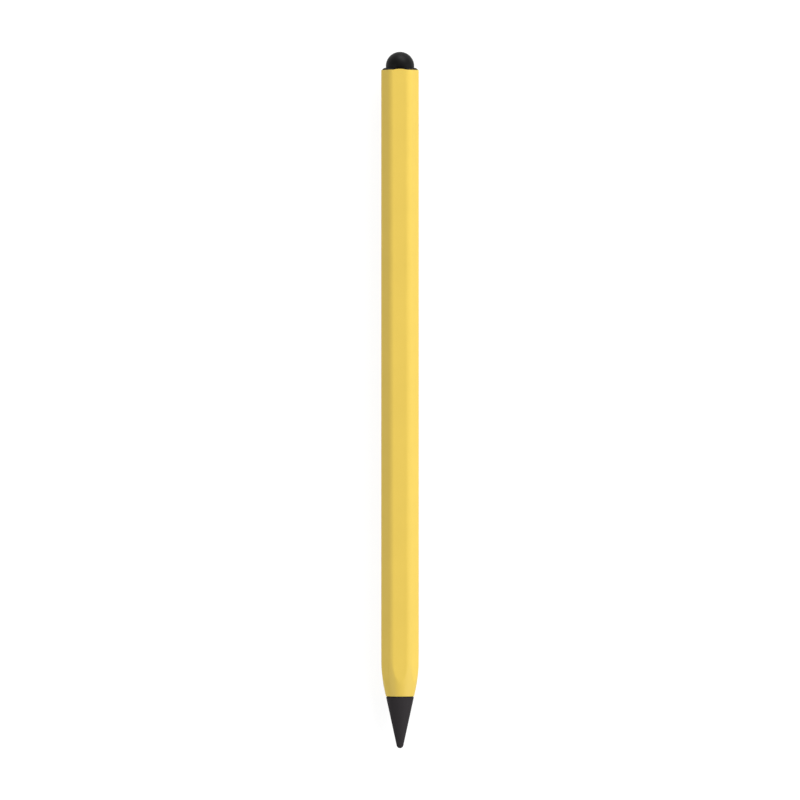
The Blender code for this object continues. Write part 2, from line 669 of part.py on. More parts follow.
def build_charging(pen, paint, chassis, bay):
    """Racetrack coil on its ferrite under the deck, with a holding magnet at each end."""
    magnet_top = DECK_BOTTOM - SEAT
    magnet_bottom = magnet_top - MAGNET_HEIGHT
    side = half_width(magnet_bottom) - COIL_SIDE
    front = (bay[0] + SEAT, bay[0] + SEAT + MAGNET_LENGTH)
    back = (bay[1] - SEAT - MAGNET_LENGTH, bay[1] - SEAT)
    for name, limits in (("magnet_front", front), ("magnet_back", back)):
        bar = block(name, (-side, side), limits, (magnet_bottom, magnet_top))
        add(name, bar, paint["nickel"], pen, (0, limits[0], magnet_top))
    coil_front = front[1] + MAGNET_SPACING
    coil_back = back[0] - MAGNET_SPACING
    outer = half_width(COIL_BOTTOM) - COIL_SIDE
    inner = FERRITE_BAR_WIDTH / 2 + SEAT
    wound = [(x, station, COIL_BOTTOM) for x, station in stadium(outer, coil_front, coil_back)]
    coil = extruded("charging_coil", wound, (0, 0, COIL_HEIGHT), True)
    coil = add("charging_coil", coil, paint["copper"], pen, (0, coil_front, COIL_TOP))
    rim = outer - inner
    hollow = stadium(inner, coil_front + rim, coil_back - rim)
    hole = [(x, station, COIL_BOTTOM - COIL_HEIGHT) for x, station in hollow]
    shape(coil, "window", extruded("window", hole, (0, 0, 3 * COIL_HEIGHT)), "DIFFERENCE")
    plate_top = FERRITE_TOP
    plate = block(
        "ferrite_plate",
        (-outer, outer),
        (coil_front + COIL_END, coil_back),
        (plate_top - FERRITE_THICKNESS, plate_top),
    )
    add("ferrite_plate", plate, paint["ferrite"], pen, (0, coil_front, plate_top))
    half = FERRITE_BAR_WIDTH / 2
    bar = block(
        "ferrite_bar",
        (-half, half),
        (coil_front + rim + inner, coil_back - rim - inner),
        (COIL_BOTTOM, COIL_TOP),
    )
    add("ferrite_bar", bar, paint["ferrite"], pen, (0, coil_front, COIL_TOP))
    station = coil_front + COIL_END / 2
    tail_side = COIL_TAIL_WIDTH / 2
    tail_half = COIL_TAIL_THICKNESS / 2
    tail = block(
        "coil_tail",
        (-tail_side, tail_side),
        (station - tail_half, station + tail_half),
        (COIL_TOP + SEAT, BOARD_BOTTOM - SEAT),
    )
    add("coil_tail", tail, paint["flex_amber"], pen, (0, station, COIL_TOP))
    slot = block(
        "tail_slot",
        (-tail_side - FIT, tail_side + FIT),
        (station - tail_half - FIT, station + tail_half + FIT),
        (DECK_BOTTOM - DECK_THICKNESS, DECK_TOP + DECK_THICKNESS),
    )
    shape(chassis, "tail_slot", slot, "DIFFERENCE")


def build_cell(pen, paint):
    """Round cell in its sleeve on a strip of foam, with welded tabs and two leads."""
    cell = [
        (CELL_FRONT - CELL_BUTTON_LENGTH, 0.0),
        (CELL_FRONT - CELL_BUTTON_LENGTH, CELL_BUTTON_RADIUS),
        (CELL_FRONT, CELL_BUTTON_RADIUS),
        (CELL_FRONT, CELL_RADIUS),
        (CELL_BACK, CELL_RADIUS),
        (CELL_BACK, 0.0),
    ]
    add("cell", turned("cell", cell), paint["aluminium"], pen, (0, CELL_FRONT, 0))
    sleeve = [
        (CELL_FRONT, SLEEVE_RADIUS - SLEEVE_THICKNESS),
        (CELL_FRONT, SLEEVE_RADIUS),
        (CELL_BACK, SLEEVE_RADIUS),
        (CELL_BACK, SLEEVE_RADIUS - SLEEVE_THICKNESS),
    ]
    add("cell_sleeve", turned("cell_sleeve", sleeve), paint["blue_film"], pen, (0, CELL_FRONT, 0))
    foam = []
    for radius, turn in ((SEATED, 1), (SEATED - FOAM_THICKNESS, -1)):
        for i in range(INNER_STEPS // 2 + 1):
            share = i / (INNER_STEPS // 2) - 0.5
            angle = -math.pi / 2 + turn * share * FOAM_SPREAD
            foam.append((radius * math.cos(angle), radius * math.sin(angle)))
    strip = along_pen("cell_foam", foam, CELL_FRONT + FOAM_INSET, CELL_BACK - FOAM_INSET)
    add("cell_foam", strip, paint["grey_foam"], pen, (0, CELL_FRONT, 0))
    tab = TAB_WIDTH / 2
    for name, station in (("front_tab", FRONT_TAB), ("back_tab", CELL_BACK + SEAT)):
        limits = (station, station + TAB_THICKNESS)
        add(name, block(name, (-tab, tab), limits, (-tab, tab)), paint["nickel"], pen, (0, station, 0))
    pad = [
        (REAR_PAD_FRONT, 0.0),
        (REAR_PAD_FRONT, SLEEVE_RADIUS),
        (REAR_PAD_BACK, SLEEVE_RADIUS),
        (REAR_PAD_BACK, 0.0),
    ]
    add("rear_pad", turned("rear_pad", pad), paint["grey_foam"], pen, (0, REAR_PAD_FRONT, 0))
    build_leads(pen, paint)


def build_leads(pen, paint):
    """Positive lead from the front tab, and negative lead along the cell from the back tab, to the board."""
    solder = CHIP_BOTTOM + LEAD_RADIUS
    near = -FLEX_WIDTH / 2 - FIT - LEAD_RADIUS
    positive = [
        (near, FRONT_TAB - SEAT, 0.0),
        (near, FRONT_TAB - LEAD_STUB, 0.0),
        (near, CHASSIS_BACK + LEAD_STUB, solder),
        (near, BOARD_BACK - LEAD_LANDING, solder),
    ]
    wire = tube("positive_lead", positive, LEAD_RADIUS)
    add("positive_lead", wire, paint["red_film"], pen, (0, FRONT_TAB, 0))
    path_radius = (SLEEVE_RADIUS + BORE) / 2
    far = path_radius * math.cos(LEAD_TURN)
    high = path_radius * math.sin(LEAD_TURN)
    behind = CELL_BACK + TAB_SPACE / 2
    land = math.sqrt(BORE ** 2 - (solder + LEAD_RADIUS) ** 2) - BOARD_SIDE - LEAD_RADIUS
    negative = [
        (TAB_WIDTH / 2 + SEAT, behind, 0.0),
        (far, behind, high),
        (far, CELL_BACK - LEAD_STUB, high),
        (far, CHASSIS_BACK + LEAD_STUB, high),
        (land, BOARD_BACK - SEAT, solder),
        (land, BOARD_BACK - LEAD_LANDING, solder),
    ]
    wire = tube("negative_lead", negative, LEAD_RADIUS)
    add("negative_lead", wire, paint["black_film"], pen, (0, CELL_BACK, 0))


def build_switch(pen, paint):
    """Cup that holds the power switch on its round board, and the flat cable that joins it to the board."""
    outline = [
        (HOLDER_BACK, PIN_RADIUS + RUN),
        (HOLDER_BACK, SEATED),
        (HOLDER_FRONT, SEATED),
        (HOLDER_FRONT, POCKET),
        (HOLDER_BACK - HOLDER_WALL, POCKET),
        (HOLDER_BACK - HOLDER_WALL, PIN_RADIUS + RUN),
    ]
    cup = turned("switch_holder", outline)
    holder = add("switch_holder", cup, paint["grey_plastic"], pen, (0, HOLDER_FRONT, 0))
    half = FLEX_WIDTH / 2
    gate = block(
        "flex_gate",
        (-half - FIT, half + FIT),
        (HOLDER_FRONT - HOLDER_RIM, SWITCH_BOARD_FRONT),
        (0.0, APOTHEM),
    )
    shape(holder, "flex_gate", gate, "DIFFERENCE")
    board = [
        (SWITCH_BOARD_FRONT, 0.0),
        (SWITCH_BOARD_FRONT, POCKET - FIT),
        (SWITCH_BOARD_BACK, POCKET - FIT),
        (SWITCH_BOARD_BACK, 0.0),
    ]
    add("switch_board", turned("switch_board", board), paint["board_green"], pen, (0, SWITCH_BOARD_FRONT, 0))
    side = SWITCH_SIDE / 2
    body = block("power_switch", (-side, side), (SWITCH_FRONT, SWITCH_BACK), (-side, side))
    switch = add("power_switch", body, paint["chip_black"], pen, (0, SWITCH_FRONT, 0))
    well_floor = SWITCH_BACK - ACTUATOR_ROOT - BUTTON_TRAVEL - SEAT
    well = [
        (well_floor, 0.0),
        (well_floor, ACTUATOR_RADIUS + RUN),
        (HOLDER_BACK, ACTUATOR_RADIUS + RUN),
        (HOLDER_BACK, 0.0),
    ]
    shape(switch, "well", turned("well", well), "DIFFERENCE")
    rise = (SLEEVE_RADIUS + math.sqrt(BORE ** 2 - half ** 2)) / 2
    land = CHIP_BOTTOM + FLEX_THICKNESS / 2
    leg = SWITCH_BOARD_FRONT - SEAT - FLEX_THICKNESS / 2
    start = CHASSIS_BACK - SCREW_INSET + SCREW_HEAD_RADIUS + FIT
    path = [(start, land), (start + FLEX_LANDING, land), (FRONT_TAB, rise), (leg, rise), (leg, FLEX_END)]
    add("link_flex", ribbon("link_flex", path, half), paint["flex_amber"], pen, (0, leg, 0))
    spring = helix("button_spring", HOLDER_BACK + SEAT, FLANGE_FRONT - SEAT, PIN_RADIUS)
    add("button_spring", spring, paint["steel"], pen, (0, HOLDER_BACK, 0))


def build_button(pen, button_slide, switch_slide, paint):
    """Soft round tip snapped over the plunger's head, and the actuator that the plunger's pin presses."""
    head_foot = TIP_CENTRE + HEAD_RAISE
    head_turn = math.acos(HEAD_RAISE / HEAD_RADIUS)
    plunger = [
        (PIN_FRONT, 0.0),
        (PIN_FRONT, PIN_RADIUS),
        (FLANGE_FRONT, PIN_RADIUS),
        (FLANGE_FRONT, PLUNGER_FLANGE_RADIUS),
        (FLANGE_BACK, PLUNGER_FLANGE_RADIUS),
        (FLANGE_BACK, NECK_RADIUS),
        (head_foot, NECK_RADIUS),
    ]
    plunger += arc(TIP_CENTRE, HEAD_RADIUS, head_turn, 0.0, TIP_STEPS)
    body = turned("button_plunger", plunger)
    add("button_plunger", body, paint["black_plastic"], button_slide, (0, FLANGE_BACK, 0))
    hollow = HEAD_RADIUS + RUN
    hollow_turn = math.acos((HEAD_RAISE - SEAT) / hollow)
    tip = [
        (TIP_FOOT, NECK_RADIUS + RUN),
        (TIP_FOOT, TIP_RADIUS - TIP_EDGE),
        (TIP_FOOT + TIP_EDGE, TIP_RADIUS),
    ]
    tip += arc(TIP_CENTRE, TIP_RADIUS, math.pi / 2, 0.0, 2 * TIP_STEPS)
    tip += arc(TIP_CENTRE, hollow, 0.0, hollow_turn, TIP_STEPS)
    tip += [(head_foot - SEAT, NECK_RADIUS + RUN)]
    body = turned("soft_tip", tip, OUTER_STEPS)
    add("soft_tip", body, paint["black_rubber"], button_slide, (0, CAP_TOP, 0))
    actuator_front = SWITCH_BACK - ACTUATOR_ROOT
    actuator = [
        (actuator_front, 0.0),
        (actuator_front, ACTUATOR_RADIUS),
        (ACTUATOR_BACK, ACTUATOR_RADIUS),
        (ACTUATOR_BACK, 0.0),
    ]
    body = turned("switch_actuator", actuator)
    add("switch_actuator", body, paint["white_plastic"], switch_slide, (0, SWITCH_BACK, 0))
    build_end_cap(pen, paint)


def build_end_cap(pen, paint):
    """Plug that closes the barrel, with a turned bevel, a recess for the soft tip and a sealing ring."""
    hole = NECK_RADIUS + RUN
    groove = SEATED - SEAL_SECTION - SEAT
    groove_front = RIM - SEAL_INSET - SEAL_SECTION / 2 - SEAT
    groove_back = groove_front + SEAL_SECTION + 2 * SEAT
    slope = CAP_BEVEL / CAP_HEIGHT
    cap = [
        (PLUG_FRONT, hole),
        (PLUG_FRONT, SEATED),
        (groove_front, SEATED),
        (groove_front, groove),
        (groove_back, groove),
        (groove_back, SEATED),
        (RIM - MOUTH_CHAMFER, SEATED),
        (RIM + SEAT, SEATED + MOUTH_CHAMFER + SEAT),
        (RIM + SEAT, CAP_TOP_RADIUS + CAP_BEVEL - SEAT * slope),
        (CAP_TOP, CAP_TOP_RADIUS),
        (CAP_TOP, TIP_RADIUS + RUN),
        (RECESS_FLOOR, TIP_RADIUS + RUN),
        (RECESS_FLOOR, hole),
    ]
    body = turned("end_cap", cap, OUTER_STEPS)
    end_cap = add("end_cap", body, paint["black_plastic"], pen, (0, RIM, 0))
    outline = hexagon(APOTHEM - CAP_INSET, CORNER_RADIUS - CAP_INSET)
    form = along_pen("cap_form", outline, PLUG_FRONT - PLUG_LENGTH, CAP_TOP + PLUG_LENGTH)
    shape(end_cap, "cap_form", form, "INTERSECT")
    notch_side = CREST_WIDTH / 2 + FIT
    notch = block(
        "notch",
        (-notch_side, notch_side),
        (RIM - CREST_ROOT, CAP_TOP + CREST_HEIGHT),
        (CREST_INNER - FIT, CREST_OUTER + BARREL_WALL),
    )
    shape(end_cap, "notch", notch, "DIFFERENCE")
    seal = ring("cap_seal", groove_front + SEAT, groove + SEAT)
    add("cap_seal", seal, paint["silicone"], pen, (0, RIM - SEAL_INSET, 0))


def build():
    """Whole pen, standing on the middle of its lowest flat."""
    for item in list(bpy.data.objects):
        bpy.data.objects.remove(item, do_unlink=True)
    paint = {
        "yellow_plastic": material("yellow_plastic", "F3D268", 0.45),
        "nib_plastic": material("nib_plastic", "343133", 0.50),
        "black_plastic": material("black_plastic", "1F1F20", 0.50),
        "black_rubber": material("black_rubber", "1E1E1E", 0.70),
        "silicone": material("silicone", "3A3A3C", 0.60),
        "white_plastic": material("white_plastic", "D9D7D0", 0.45),
        "grey_plastic": material("grey_plastic", "5B5E61", 0.50),
        "steel": material("steel", "B9BBBE", 0.30, 1.0),
        "brass": material("brass", "C8A24D", 0.35, 1.0),
        "copper": material("copper", "B8733C", 0.35, 1.0),
        "nickel": material("nickel", "A9A8A4", 0.30, 1.0),
        "aluminium": material("aluminium", "C5C7C9", 0.40, 1.0),
        "ferrite": material("ferrite", "2C2C2E", 0.60),
        "board_green": material("board_green", "20603C", 0.45),
        "chip_black": material("chip_black", "161617", 0.55),
        "flex_amber": material("flex_amber", "B66A20", 0.40),
        "blue_film": material("blue_film", "2F5FA6", 0.40),
        "grey_foam": material("grey_foam", "6C6C6C", 0.90),
        "red_film": material("red_film", "B2231F", 0.45),
        "black_film": material("black_film", "151515", 0.45),
    }
    pen = carrier("pen_axis", None, (0, -PEN_LENGTH / 2, APOTHEM))
    stem_slide = carrier("stem_slide", pen, (0, NIB_LENGTH, 0))
    nib_turn = carrier("nib_turn", stem_slide, (0, 0, 0))
    button_slide = carrier("button_slide", pen, (0, CAP_TOP, 0))
    switch_slide = carrier("switch_slide", pen, (0, SWITCH_BACK, 0))
    build_barrel(pen, paint)
    build_nib(stem_slide, nib_turn, paint)
    build_nose(pen, paint)
    build_sensor(pen, paint)
    build_chassis(pen, paint)
    build_cell(pen, paint)
    build_switch(pen, paint)
    build_button(pen, button_slide, switch_slide, paint)


build()
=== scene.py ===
"""Finished looks of a stylus pen: a yellow six-sided barrel, a charcoal nib and a black soft tip.

The file is laid out as an add-on. Each operator models or finishes one piece, or one group of like
pieces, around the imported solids. The pen lies along Y with its nib towards -Y, and all sizes are in
metres.
"""

import math
from functools import partial

import bmesh
import bpy
from bpy.props import FloatProperty, FloatVectorProperty, PointerProperty
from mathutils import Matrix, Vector


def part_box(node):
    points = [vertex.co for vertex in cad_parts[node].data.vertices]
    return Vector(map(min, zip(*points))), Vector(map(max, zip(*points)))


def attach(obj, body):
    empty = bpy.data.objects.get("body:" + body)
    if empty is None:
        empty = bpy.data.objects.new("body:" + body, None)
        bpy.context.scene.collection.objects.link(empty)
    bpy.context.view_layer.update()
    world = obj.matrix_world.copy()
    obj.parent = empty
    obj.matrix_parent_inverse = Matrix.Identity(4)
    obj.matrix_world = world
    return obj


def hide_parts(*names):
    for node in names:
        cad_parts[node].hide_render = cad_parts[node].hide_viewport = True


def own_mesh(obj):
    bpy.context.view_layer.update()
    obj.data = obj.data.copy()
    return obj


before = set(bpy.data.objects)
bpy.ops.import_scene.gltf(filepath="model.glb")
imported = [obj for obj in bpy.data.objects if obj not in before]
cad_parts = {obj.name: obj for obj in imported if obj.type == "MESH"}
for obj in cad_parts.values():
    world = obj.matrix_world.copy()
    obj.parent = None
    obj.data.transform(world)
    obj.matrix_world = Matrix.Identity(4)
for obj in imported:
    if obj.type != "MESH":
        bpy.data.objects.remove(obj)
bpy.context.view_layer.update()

bl_info = {
    "name": "Stylus Pen",
    "version": (1, 0, 0),
    "blender": (4, 5, 0),
    "location": "3D View > Sidebar > Pen",
    "description": "Models and finishes a six-sided stylus pen around its packed solids",
    "category": "Object",
}

MM = 0.001
WELD = 1e-7

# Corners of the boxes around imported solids
BARREL_LOW, BARREL_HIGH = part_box("barrel")
NIB_LOW, NIB_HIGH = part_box("nib")
STEM_LOW, STEM_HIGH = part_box("nib_stem")
CAP_LOW, CAP_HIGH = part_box("end_cap")
TIP_LOW, TIP_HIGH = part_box("soft_tip")

# Pen's axis over the floor, and the reach of the barrel from it
AXIS = (BARREL_LOW.z + BARREL_HIGH.z) / 2
APOTHEM = BARREL_HIGH.z - AXIS
CORNER_REACH = BARREL_HIGH.x

# Terminals on each side of the packages on the board
TERMINALS = {"controller_chip": 7, "driver_chip": 4, "power_inductor": 1, "charger_chip": 4}

# Each spring with its joint, its open turns, and where along it the end is that stays in place
SPRINGS = (("nib_spring", "nib_press", 5, 1.0), ("button_spring", "button_press", 4, 0.0))
CLOSED_PITCH = 1.05        # of the springs' end turns, in thicknesses of their wire

# Charging coil
COIL_TURNS = 6
COIL_LAYERS = 5
COIL_FILL = 0.48           # radius of the wire, as a share of the spacing of its turns

# Turn of the negative lead about the pen's axis, from its right side up
LEAD_TURN = math.radians(32)

# Threads: how steeply a flank falls, in depths over a pitch, and how far the flat crest delays it
FLANK_FALL = 3.0
FLANK_START = 0.25

# Crest on the rim: how fast its straight inner face goes over into the round mouth
CREST_BLEND = 3.0

# Where a terminal bends down, as a share of its reach
TERMINAL_KNEE = 1 / 3

# Lamps: lean from overhead, heading from +Y towards +X, roll, width and breadth (degrees, metres)
LAMPS = {
    "right": (65.0, 115.0, 0.0, 1.2, 1.2),
    "strip": (70.6, 13.0, 56.0, 0.6, 1.5),
    "left": (59.0, -115.0, 0.0, 1.2, 1.2),
}
LAMP_DISTANCE = 1.6
FLOOR_WIDTH = 14.0
CAMERA_REACH = 100.0

# Finishes: widths and depths of what marks them, how far their roughness strays from its middle,
# and how much their colour darkens and brightens
CLOUD_WIDTH = 6 * MM
SPECK_WIDTH = 0.4 * MM
FIBRE_WIDTH = 2 * MM
TOOL_DEPTH = 0.004 * MM
TRACK_DEPTH = 0.02 * MM
MOULD_STRAY = 0.06
TOOL_STRAY = 0.10
TRACK_STRAY = 0.08
TOOL_TINTS = (-0.12, 0.08)
TRACK_TINTS = (0.06, -0.06)
# The foam's darker tint is painted shade in the pits of its cells
FOAM_PIT_SHADE_TINTS = (-0.45, 0.12)
FIBRE_TINTS = (-0.01, 0.01)

# Sockets of a Mix node that mixes two colours: share, first and second colour, and result
MIX_INPUTS = (0, 6, 7)
MIX_RESULT = 2

# Clearances
SEAT = 0.05 * MM           # between two faces that rest on each other
HAIR = SEAT / 10           # between the rim and the end cap that closes on it
RUN = 0.08 * MM            # radial, between a sliding piece and its guide

# Fineness of the meshes
CORNER_SEGMENTS = 12
CORNER_PROFILE = 0.536     # of a bevel, which makes the round of a 120 degree corner a true arc
FLAT_CUTS = 23
NOSE_CUTS = 79
CAP_CUTS = 7
TURN_STEPS = 144
SMALL_STEPS = 72
ARC_STEPS = 24
EDGE_STEPS = 5
WIRE_STEPS = 14
COIL_STEPS = 40
LEAD_STEPS = 4             # in a quarter of a lead's section
THREAD_ROWS = 12           # in one pitch
TURN_WIRE_STEPS = 10
TURN_END_STEPS = 16
SHARP_EDGE = math.radians(50)
SMOOTH_ANGLE = math.radians(32)
FACING = 0.9               # least share of a face's normal that lies along the axis it faces


def linear(code):
    """Scene-linear colour of an sRGB hex value."""
    channels = [int(code[i:i + 2], 16) / 255 for i in (0, 2, 4)]
    return [c / 12.92 if c <= 0.04045 else ((c + 0.055) / 1.055) ** 2.4 for c in channels]


def length(name, description, millimetres):
    """Size that a user can change."""
    return FloatProperty(
        name=name,
        description=description,
        default=millimetres * MM,
        min=0.0,
        precision=5,
        subtype="DISTANCE",
        unit="LENGTH",
    )


def colour(name, description, code):
    """Colour that a user can change."""
    return FloatVectorProperty(
        name=name,
        description=description,
        default=linear(code),
        size=3,
        min=0.0,
        max=1.0,
        subtype="COLOR",
    )


def level(name, description, default):
    """Brightness of a light, of which 1 shows a facing colour about as it is written."""
    return FloatProperty(
        name=name, description=description, default=default, min=0.0, max=4.0, subtype="FACTOR"
    )


class PenSizes(bpy.types.PropertyGroup):
    """Sizes of the pen's modelled pieces."""

    barrel_length: length("Barrel Length", "From the nose's end to the back rim", 149.28)
    corner: length("Corner", "Radius along the barrel's six corners", 1.60)
    bore: length("Bore", "Radius of the barrel's bore", 3.30)
    mouth: length("Mouth", "Radius of the bore where it opens at the rim", 3.80)
    rim_round: length("Rim Round", "Rounding of the back rim's outer edge", 0.10)
    nose_length: length("Nose Length", "Length of the turned nose", 8.88)
    nose_end: length("Nose End", "Radius of the nose where it meets the nib", 3.35)
    nose_round: length("Nose Round", "Rounding of the nose's end", 0.03)
    nose_soft: length("Nose Softness", "Rounding of the edges where the flats run out", 0.06)
    nose_bore: length("Nose Bore", "Radius of the bore in the nose", 2.45)
    nose_bore_length: length("Nose Bore Length", "Length of the bore in the nose", 11.63)
    nose_recess: length("Nose Recess", "Radius of the recess for the stem's flange", 3.13)
    nose_recess_depth: length("Nose Recess Depth", "Depth of the recess for the flange", 1.05)
    nose_mouth: length("Nose Mouth", "Radius of the recess where it opens at the nose's end", 3.27)
    nose_mouth_depth: length("Nose Mouth Depth", "Depth over which the recess narrows", 0.30)
    crest_width: length("Crest Width", "Width of the low crest on the rim", 3.30)
    crest_height: length("Crest Height", "Height of the low crest on the rim", 0.21)
    crest_inner: length("Crest Inner Face", "Height of the crest's inner face over the axis", 3.85)
    nib_point: length("Nib Point", "Radius of the nib's round point", 0.83)
    nib_base: length("Nib Base", "Radius of the nib's base", 3.325)
    nib_round: length("Nib Round", "Rounding of the nib's base", 0.05)
    nib_pocket: length("Nib Pocket", "Radius of the pocket for the sealing ring", 1.90)
    nib_pocket_depth: length("Nib Pocket Depth", "Depth of the pocket for the sealing ring", 0.70)
    nib_socket: length("Nib Socket", "Radius of the nib's socket", 1.28)
    nib_socket_depth: length("Nib Socket Depth", "Depth of the nib's socket", 6.90)
    nib_socket_point: length("Nib Socket Point", "Depth of the drill's point past the socket", 0.64)
    stem: length("Stem", "Radius of the stem", 1.20)
    stem_edge: length("Stem Edge", "Chamfer at the stem's front", 0.15)
    flange: length("Flange", "Thickness of the flange that the nib stops against", 0.90)
    flange_front: length("Flange Front", "Radius of the flange where it faces the nib", 3.22)
    flange_taper: length("Flange Taper", "Depth over which the flange narrows", 0.36)
    thread_length: length("Thread Length", "Length of the stem's thread", 5.40)
    thread_pitch: length("Thread Pitch", "Advance of the stem's thread in one turn", 0.50)
    thread_depth: length("Thread Depth", "Depth of the stem's thread", 0.24)
    seal: length("Seal", "Thickness of the sealing rings", 0.60)
    cap_height: length("Cap Height", "Height of the end cap over the rim", 0.48)
    cap_inset: length("Cap Inset", "How far the end cap lies inside the barrel's outline", 0.10)
    cap_bevel: length("Cap Bevel", "How far the end cap's turned bevel leans in", 0.55)
    cap_round: length("Cap Round", "Rounding of the end cap's edges", 0.05)
    cap_plug: length("Cap Plug", "Radius of the end cap's plug", 3.20)
    cap_recess: length("Cap Recess", "Depth of the recess for the soft tip", 0.30)
    cap_groove_front: length("Groove Front", "From the plug's front to the ring's groove", 1.65)
    cap_groove_width: length("Groove Width", "Width of the sealing ring's groove", 0.70)
    cap_groove: length("Groove", "Radius at the bottom of the sealing ring's groove", 2.55)
    tip_round: length("Tip Round", "Rounding of the soft tip's foot", 0.08)
    tip_neck: length("Tip Neck", "Radius of the hole in the soft tip and the end cap", 1.965)
    tip_hollow: length("Tip Hollow", "Radius of the hollow in the soft tip", 2.515)
    tip_lip: length("Tip Lip", "Height of the hollow's lip over the dome's centre", 0.25)
    turned_edge: length("Turned Edge", "Rounding of the small turned pieces", 0.08)
    bushing_flange: length("Bushing Flange", "Thickness of the bushing's flange", 1.00)
    electrode: length("Electrode", "Thickness of the ring around the bushing", 0.25)
    housing_wall: length("Housing Wall", "Thickness of the sensor housing's front", 0.80)
    holder_wall: length("Holder Wall", "Thickness of the switch holder's back", 0.70)
    cup_skin: length("Cup Skin", "Thickness of the housing's and the holder's sides", 0.60)
    sensor_button: length("Sensor Button", "Radius of the force sensor's raised middle", 1.05)
    sensor_step: length("Sensor Step", "Height of the force sensor's raised middle", 0.15)
    cell_button: length("Cell Button", "Radius of the cell's front terminal", 1.10)
    crimp: length("Crimp", "From the can's front to its crimp, and the crimp's width", 1.20)
    crimp_depth: length("Crimp Depth", "Depth of the can's crimp", 0.12)
    film: length("Film", "Thickness of the film around the cell", 0.14)
    plunger_pin: length("Plunger Pin", "Radius of the plunger's pin", 1.20)
    plunger_flange: length("Plunger Flange", "Thickness of the plunger's flange", 0.80)
    magnet_edge: length("Magnet Edge", "Rounding of the magnets", 0.20)
    ferrite_edge: length("Ferrite Edge", "Rounding of the ferrites", 0.06)
    tab_edge: length("Tab Edge", "Rounding of the cell's tabs", 0.03)
    lead: length("Lead", "Radius of the cell's leads", 0.20)
    lead_bend: length("Lead Bend", "How far a lead's bend starts from its corner", 0.40)
    lead_stub: length("Lead Stub", "Straight run at each end of a lead's bend", 0.60)
    wire: length("Spring Wire", "Thickness of the springs' wire", 0.30)
    coil: length("Spring Coil", "Radius of the springs at the wire's middle", 1.65)
    package_edge: length("Package Edge", "Rounding of the chips' edges", 0.05)
    package_draft: length("Package Draft", "How far the chips' sides lean in", 0.06)
    dimple: length("Dimple", "Radius of the ball that marks a chip's first terminal", 0.40)
    dimple_depth: length("Dimple Depth", "Depth of the mark at a chip's first terminal", 0.08)
    terminal_reach: length("Terminal Reach", "How far the chips' terminals stand out", 0.40)
    terminal_width: length("Terminal Width", "Width of the chips' terminals", 0.26)
    terminal_pitch: length("Terminal Pitch", "Spacing of the chips' terminals", 0.65)
    inductor_terminal: length("Inductor Terminal", "Width of the inductor's terminals", 1.60)
    terminal_thickness: length("Terminal Thickness", "Thickness of the chips' terminals", 0.10)
    can_flange: length("Can Flange", "Height of the flange around the crystal's can", 0.10)
    can_step: length("Can Step", "Width of the flange around the crystal's can", 0.12)
    can_edge: length("Can Edge", "Rounding of the crystal's can", 0.09)
    screw: length("Screw", "Radius of the board screws", 0.50)
    screw_head: length("Screw Head", "Height of the board screws' heads", 0.50)
    screw_draft: length("Screw Head Draft", "How far the screw heads narrow", 0.135)
    screw_pitch: length("Screw Pitch", "Advance of the board screws in one turn", 0.25)
    screw_thread: length("Screw Thread", "Depth of the board screws' thread", 0.09)
    slot_width: length("Slot Width", "Width of the cross in the screw heads", 0.22)
    slot_reach: length("Slot Reach", "Length of each arm of the cross", 1.05)
    slot_depth: length("Slot Depth", "Depth of the cross in the screw heads", 0.28)


class PenColours(bpy.types.PropertyGroup):
    """Colours of the pen's finishes."""

    satin_yellow_abs: colour("Yellow ABS", "Barrel", "E9C95D")
    charcoal_acetal: colour("Charcoal Acetal", "Nib", "343133")
    black_abs: colour("Black ABS", "End cap, plunger and the stem's flange", "171717")
    black_silicone: colour("Black Silicone", "Soft tip", "151515")
    grey_silicone: colour("Grey Silicone", "Sealing rings and sensor pad", "3A3A3C")
    white_acetal: colour("White Acetal", "Bushing and actuator", "D9D7D0")
    grey_nylon: colour("Grey Nylon", "Housings and chassis", "5B5E61")
    turned_steel: colour("Turned Steel", "Stem, springs, screws and small cans", "B9BBBE")
    turned_brass: colour("Turned Brass", "Stop collar", "C8A24D")
    enamelled_copper: colour("Enamelled Copper", "Coil and electrode", "B8733C")
    nickel_plate: colour("Nickel Plate", "Magnets and tabs", "A9A8A4")
    tinned_copper: colour("Tinned Copper", "Chip terminals", "C4C3BF")
    drawn_aluminium: colour("Drawn Aluminium", "Cell", "C5C7C9")
    sintered_ferrite: colour("Sintered Ferrite", "Ferrites and inductor", "2C2C2E")
    solder_mask: colour("Solder Mask", "Boards", "20603C")
    moulded_epoxy: colour("Moulded Epoxy", "Chips and switch", "161617")
    polyimide_film: colour("Polyimide Film", "Flat cables", "B66A20")
    blue_shrink_film: colour("Blue Shrink Film", "Cell sleeve", "2F5FA6")
    grey_foam: colour("Grey Foam", "Foam pads", "6C6C6C")
    red_insulation: colour("Red Insulation", "Positive lead", "B2231F")
    black_insulation: colour("Black Insulation", "Negative lead", "151515")
    white_floor: colour("White Floor", "Floor", "8A8A8A")


class PenStage(bpy.types.PropertyGroup):
    """Camera and light around the pen."""

    lens: FloatProperty(
        name="Lens", description="Focal length", default=700.0, min=1.0, unit="CAMERA"
    )
    view: length("View", "Width that the camera sees at the pen's axis", 190.7)
    sky: level("Sky", "Even light from all around", 0.02)
    right: level("Right", "Large lamp before the pen on the right", 0.95)
    strip: level("Strip", "Long lamp that rises behind the soft tip towards the right", 1.28)
    left: level("Left", "Large lamp before the pen on the left", 0.70)
    floor: level("Floor", "Glow of the white floor in the camera and in reflections", 0.86)


def arc(centre, radius, start, end, steps):
    """Points of (y, radius) on a circle between two angles, in degrees from the +Y direction."""
    angles = [math.radians(start + (end - start) * i / steps) for i in range(steps + 1)]
    return [(centre[0] + radius * math.cos(a), centre[1] + radius * math.sin(a)) for a in angles]


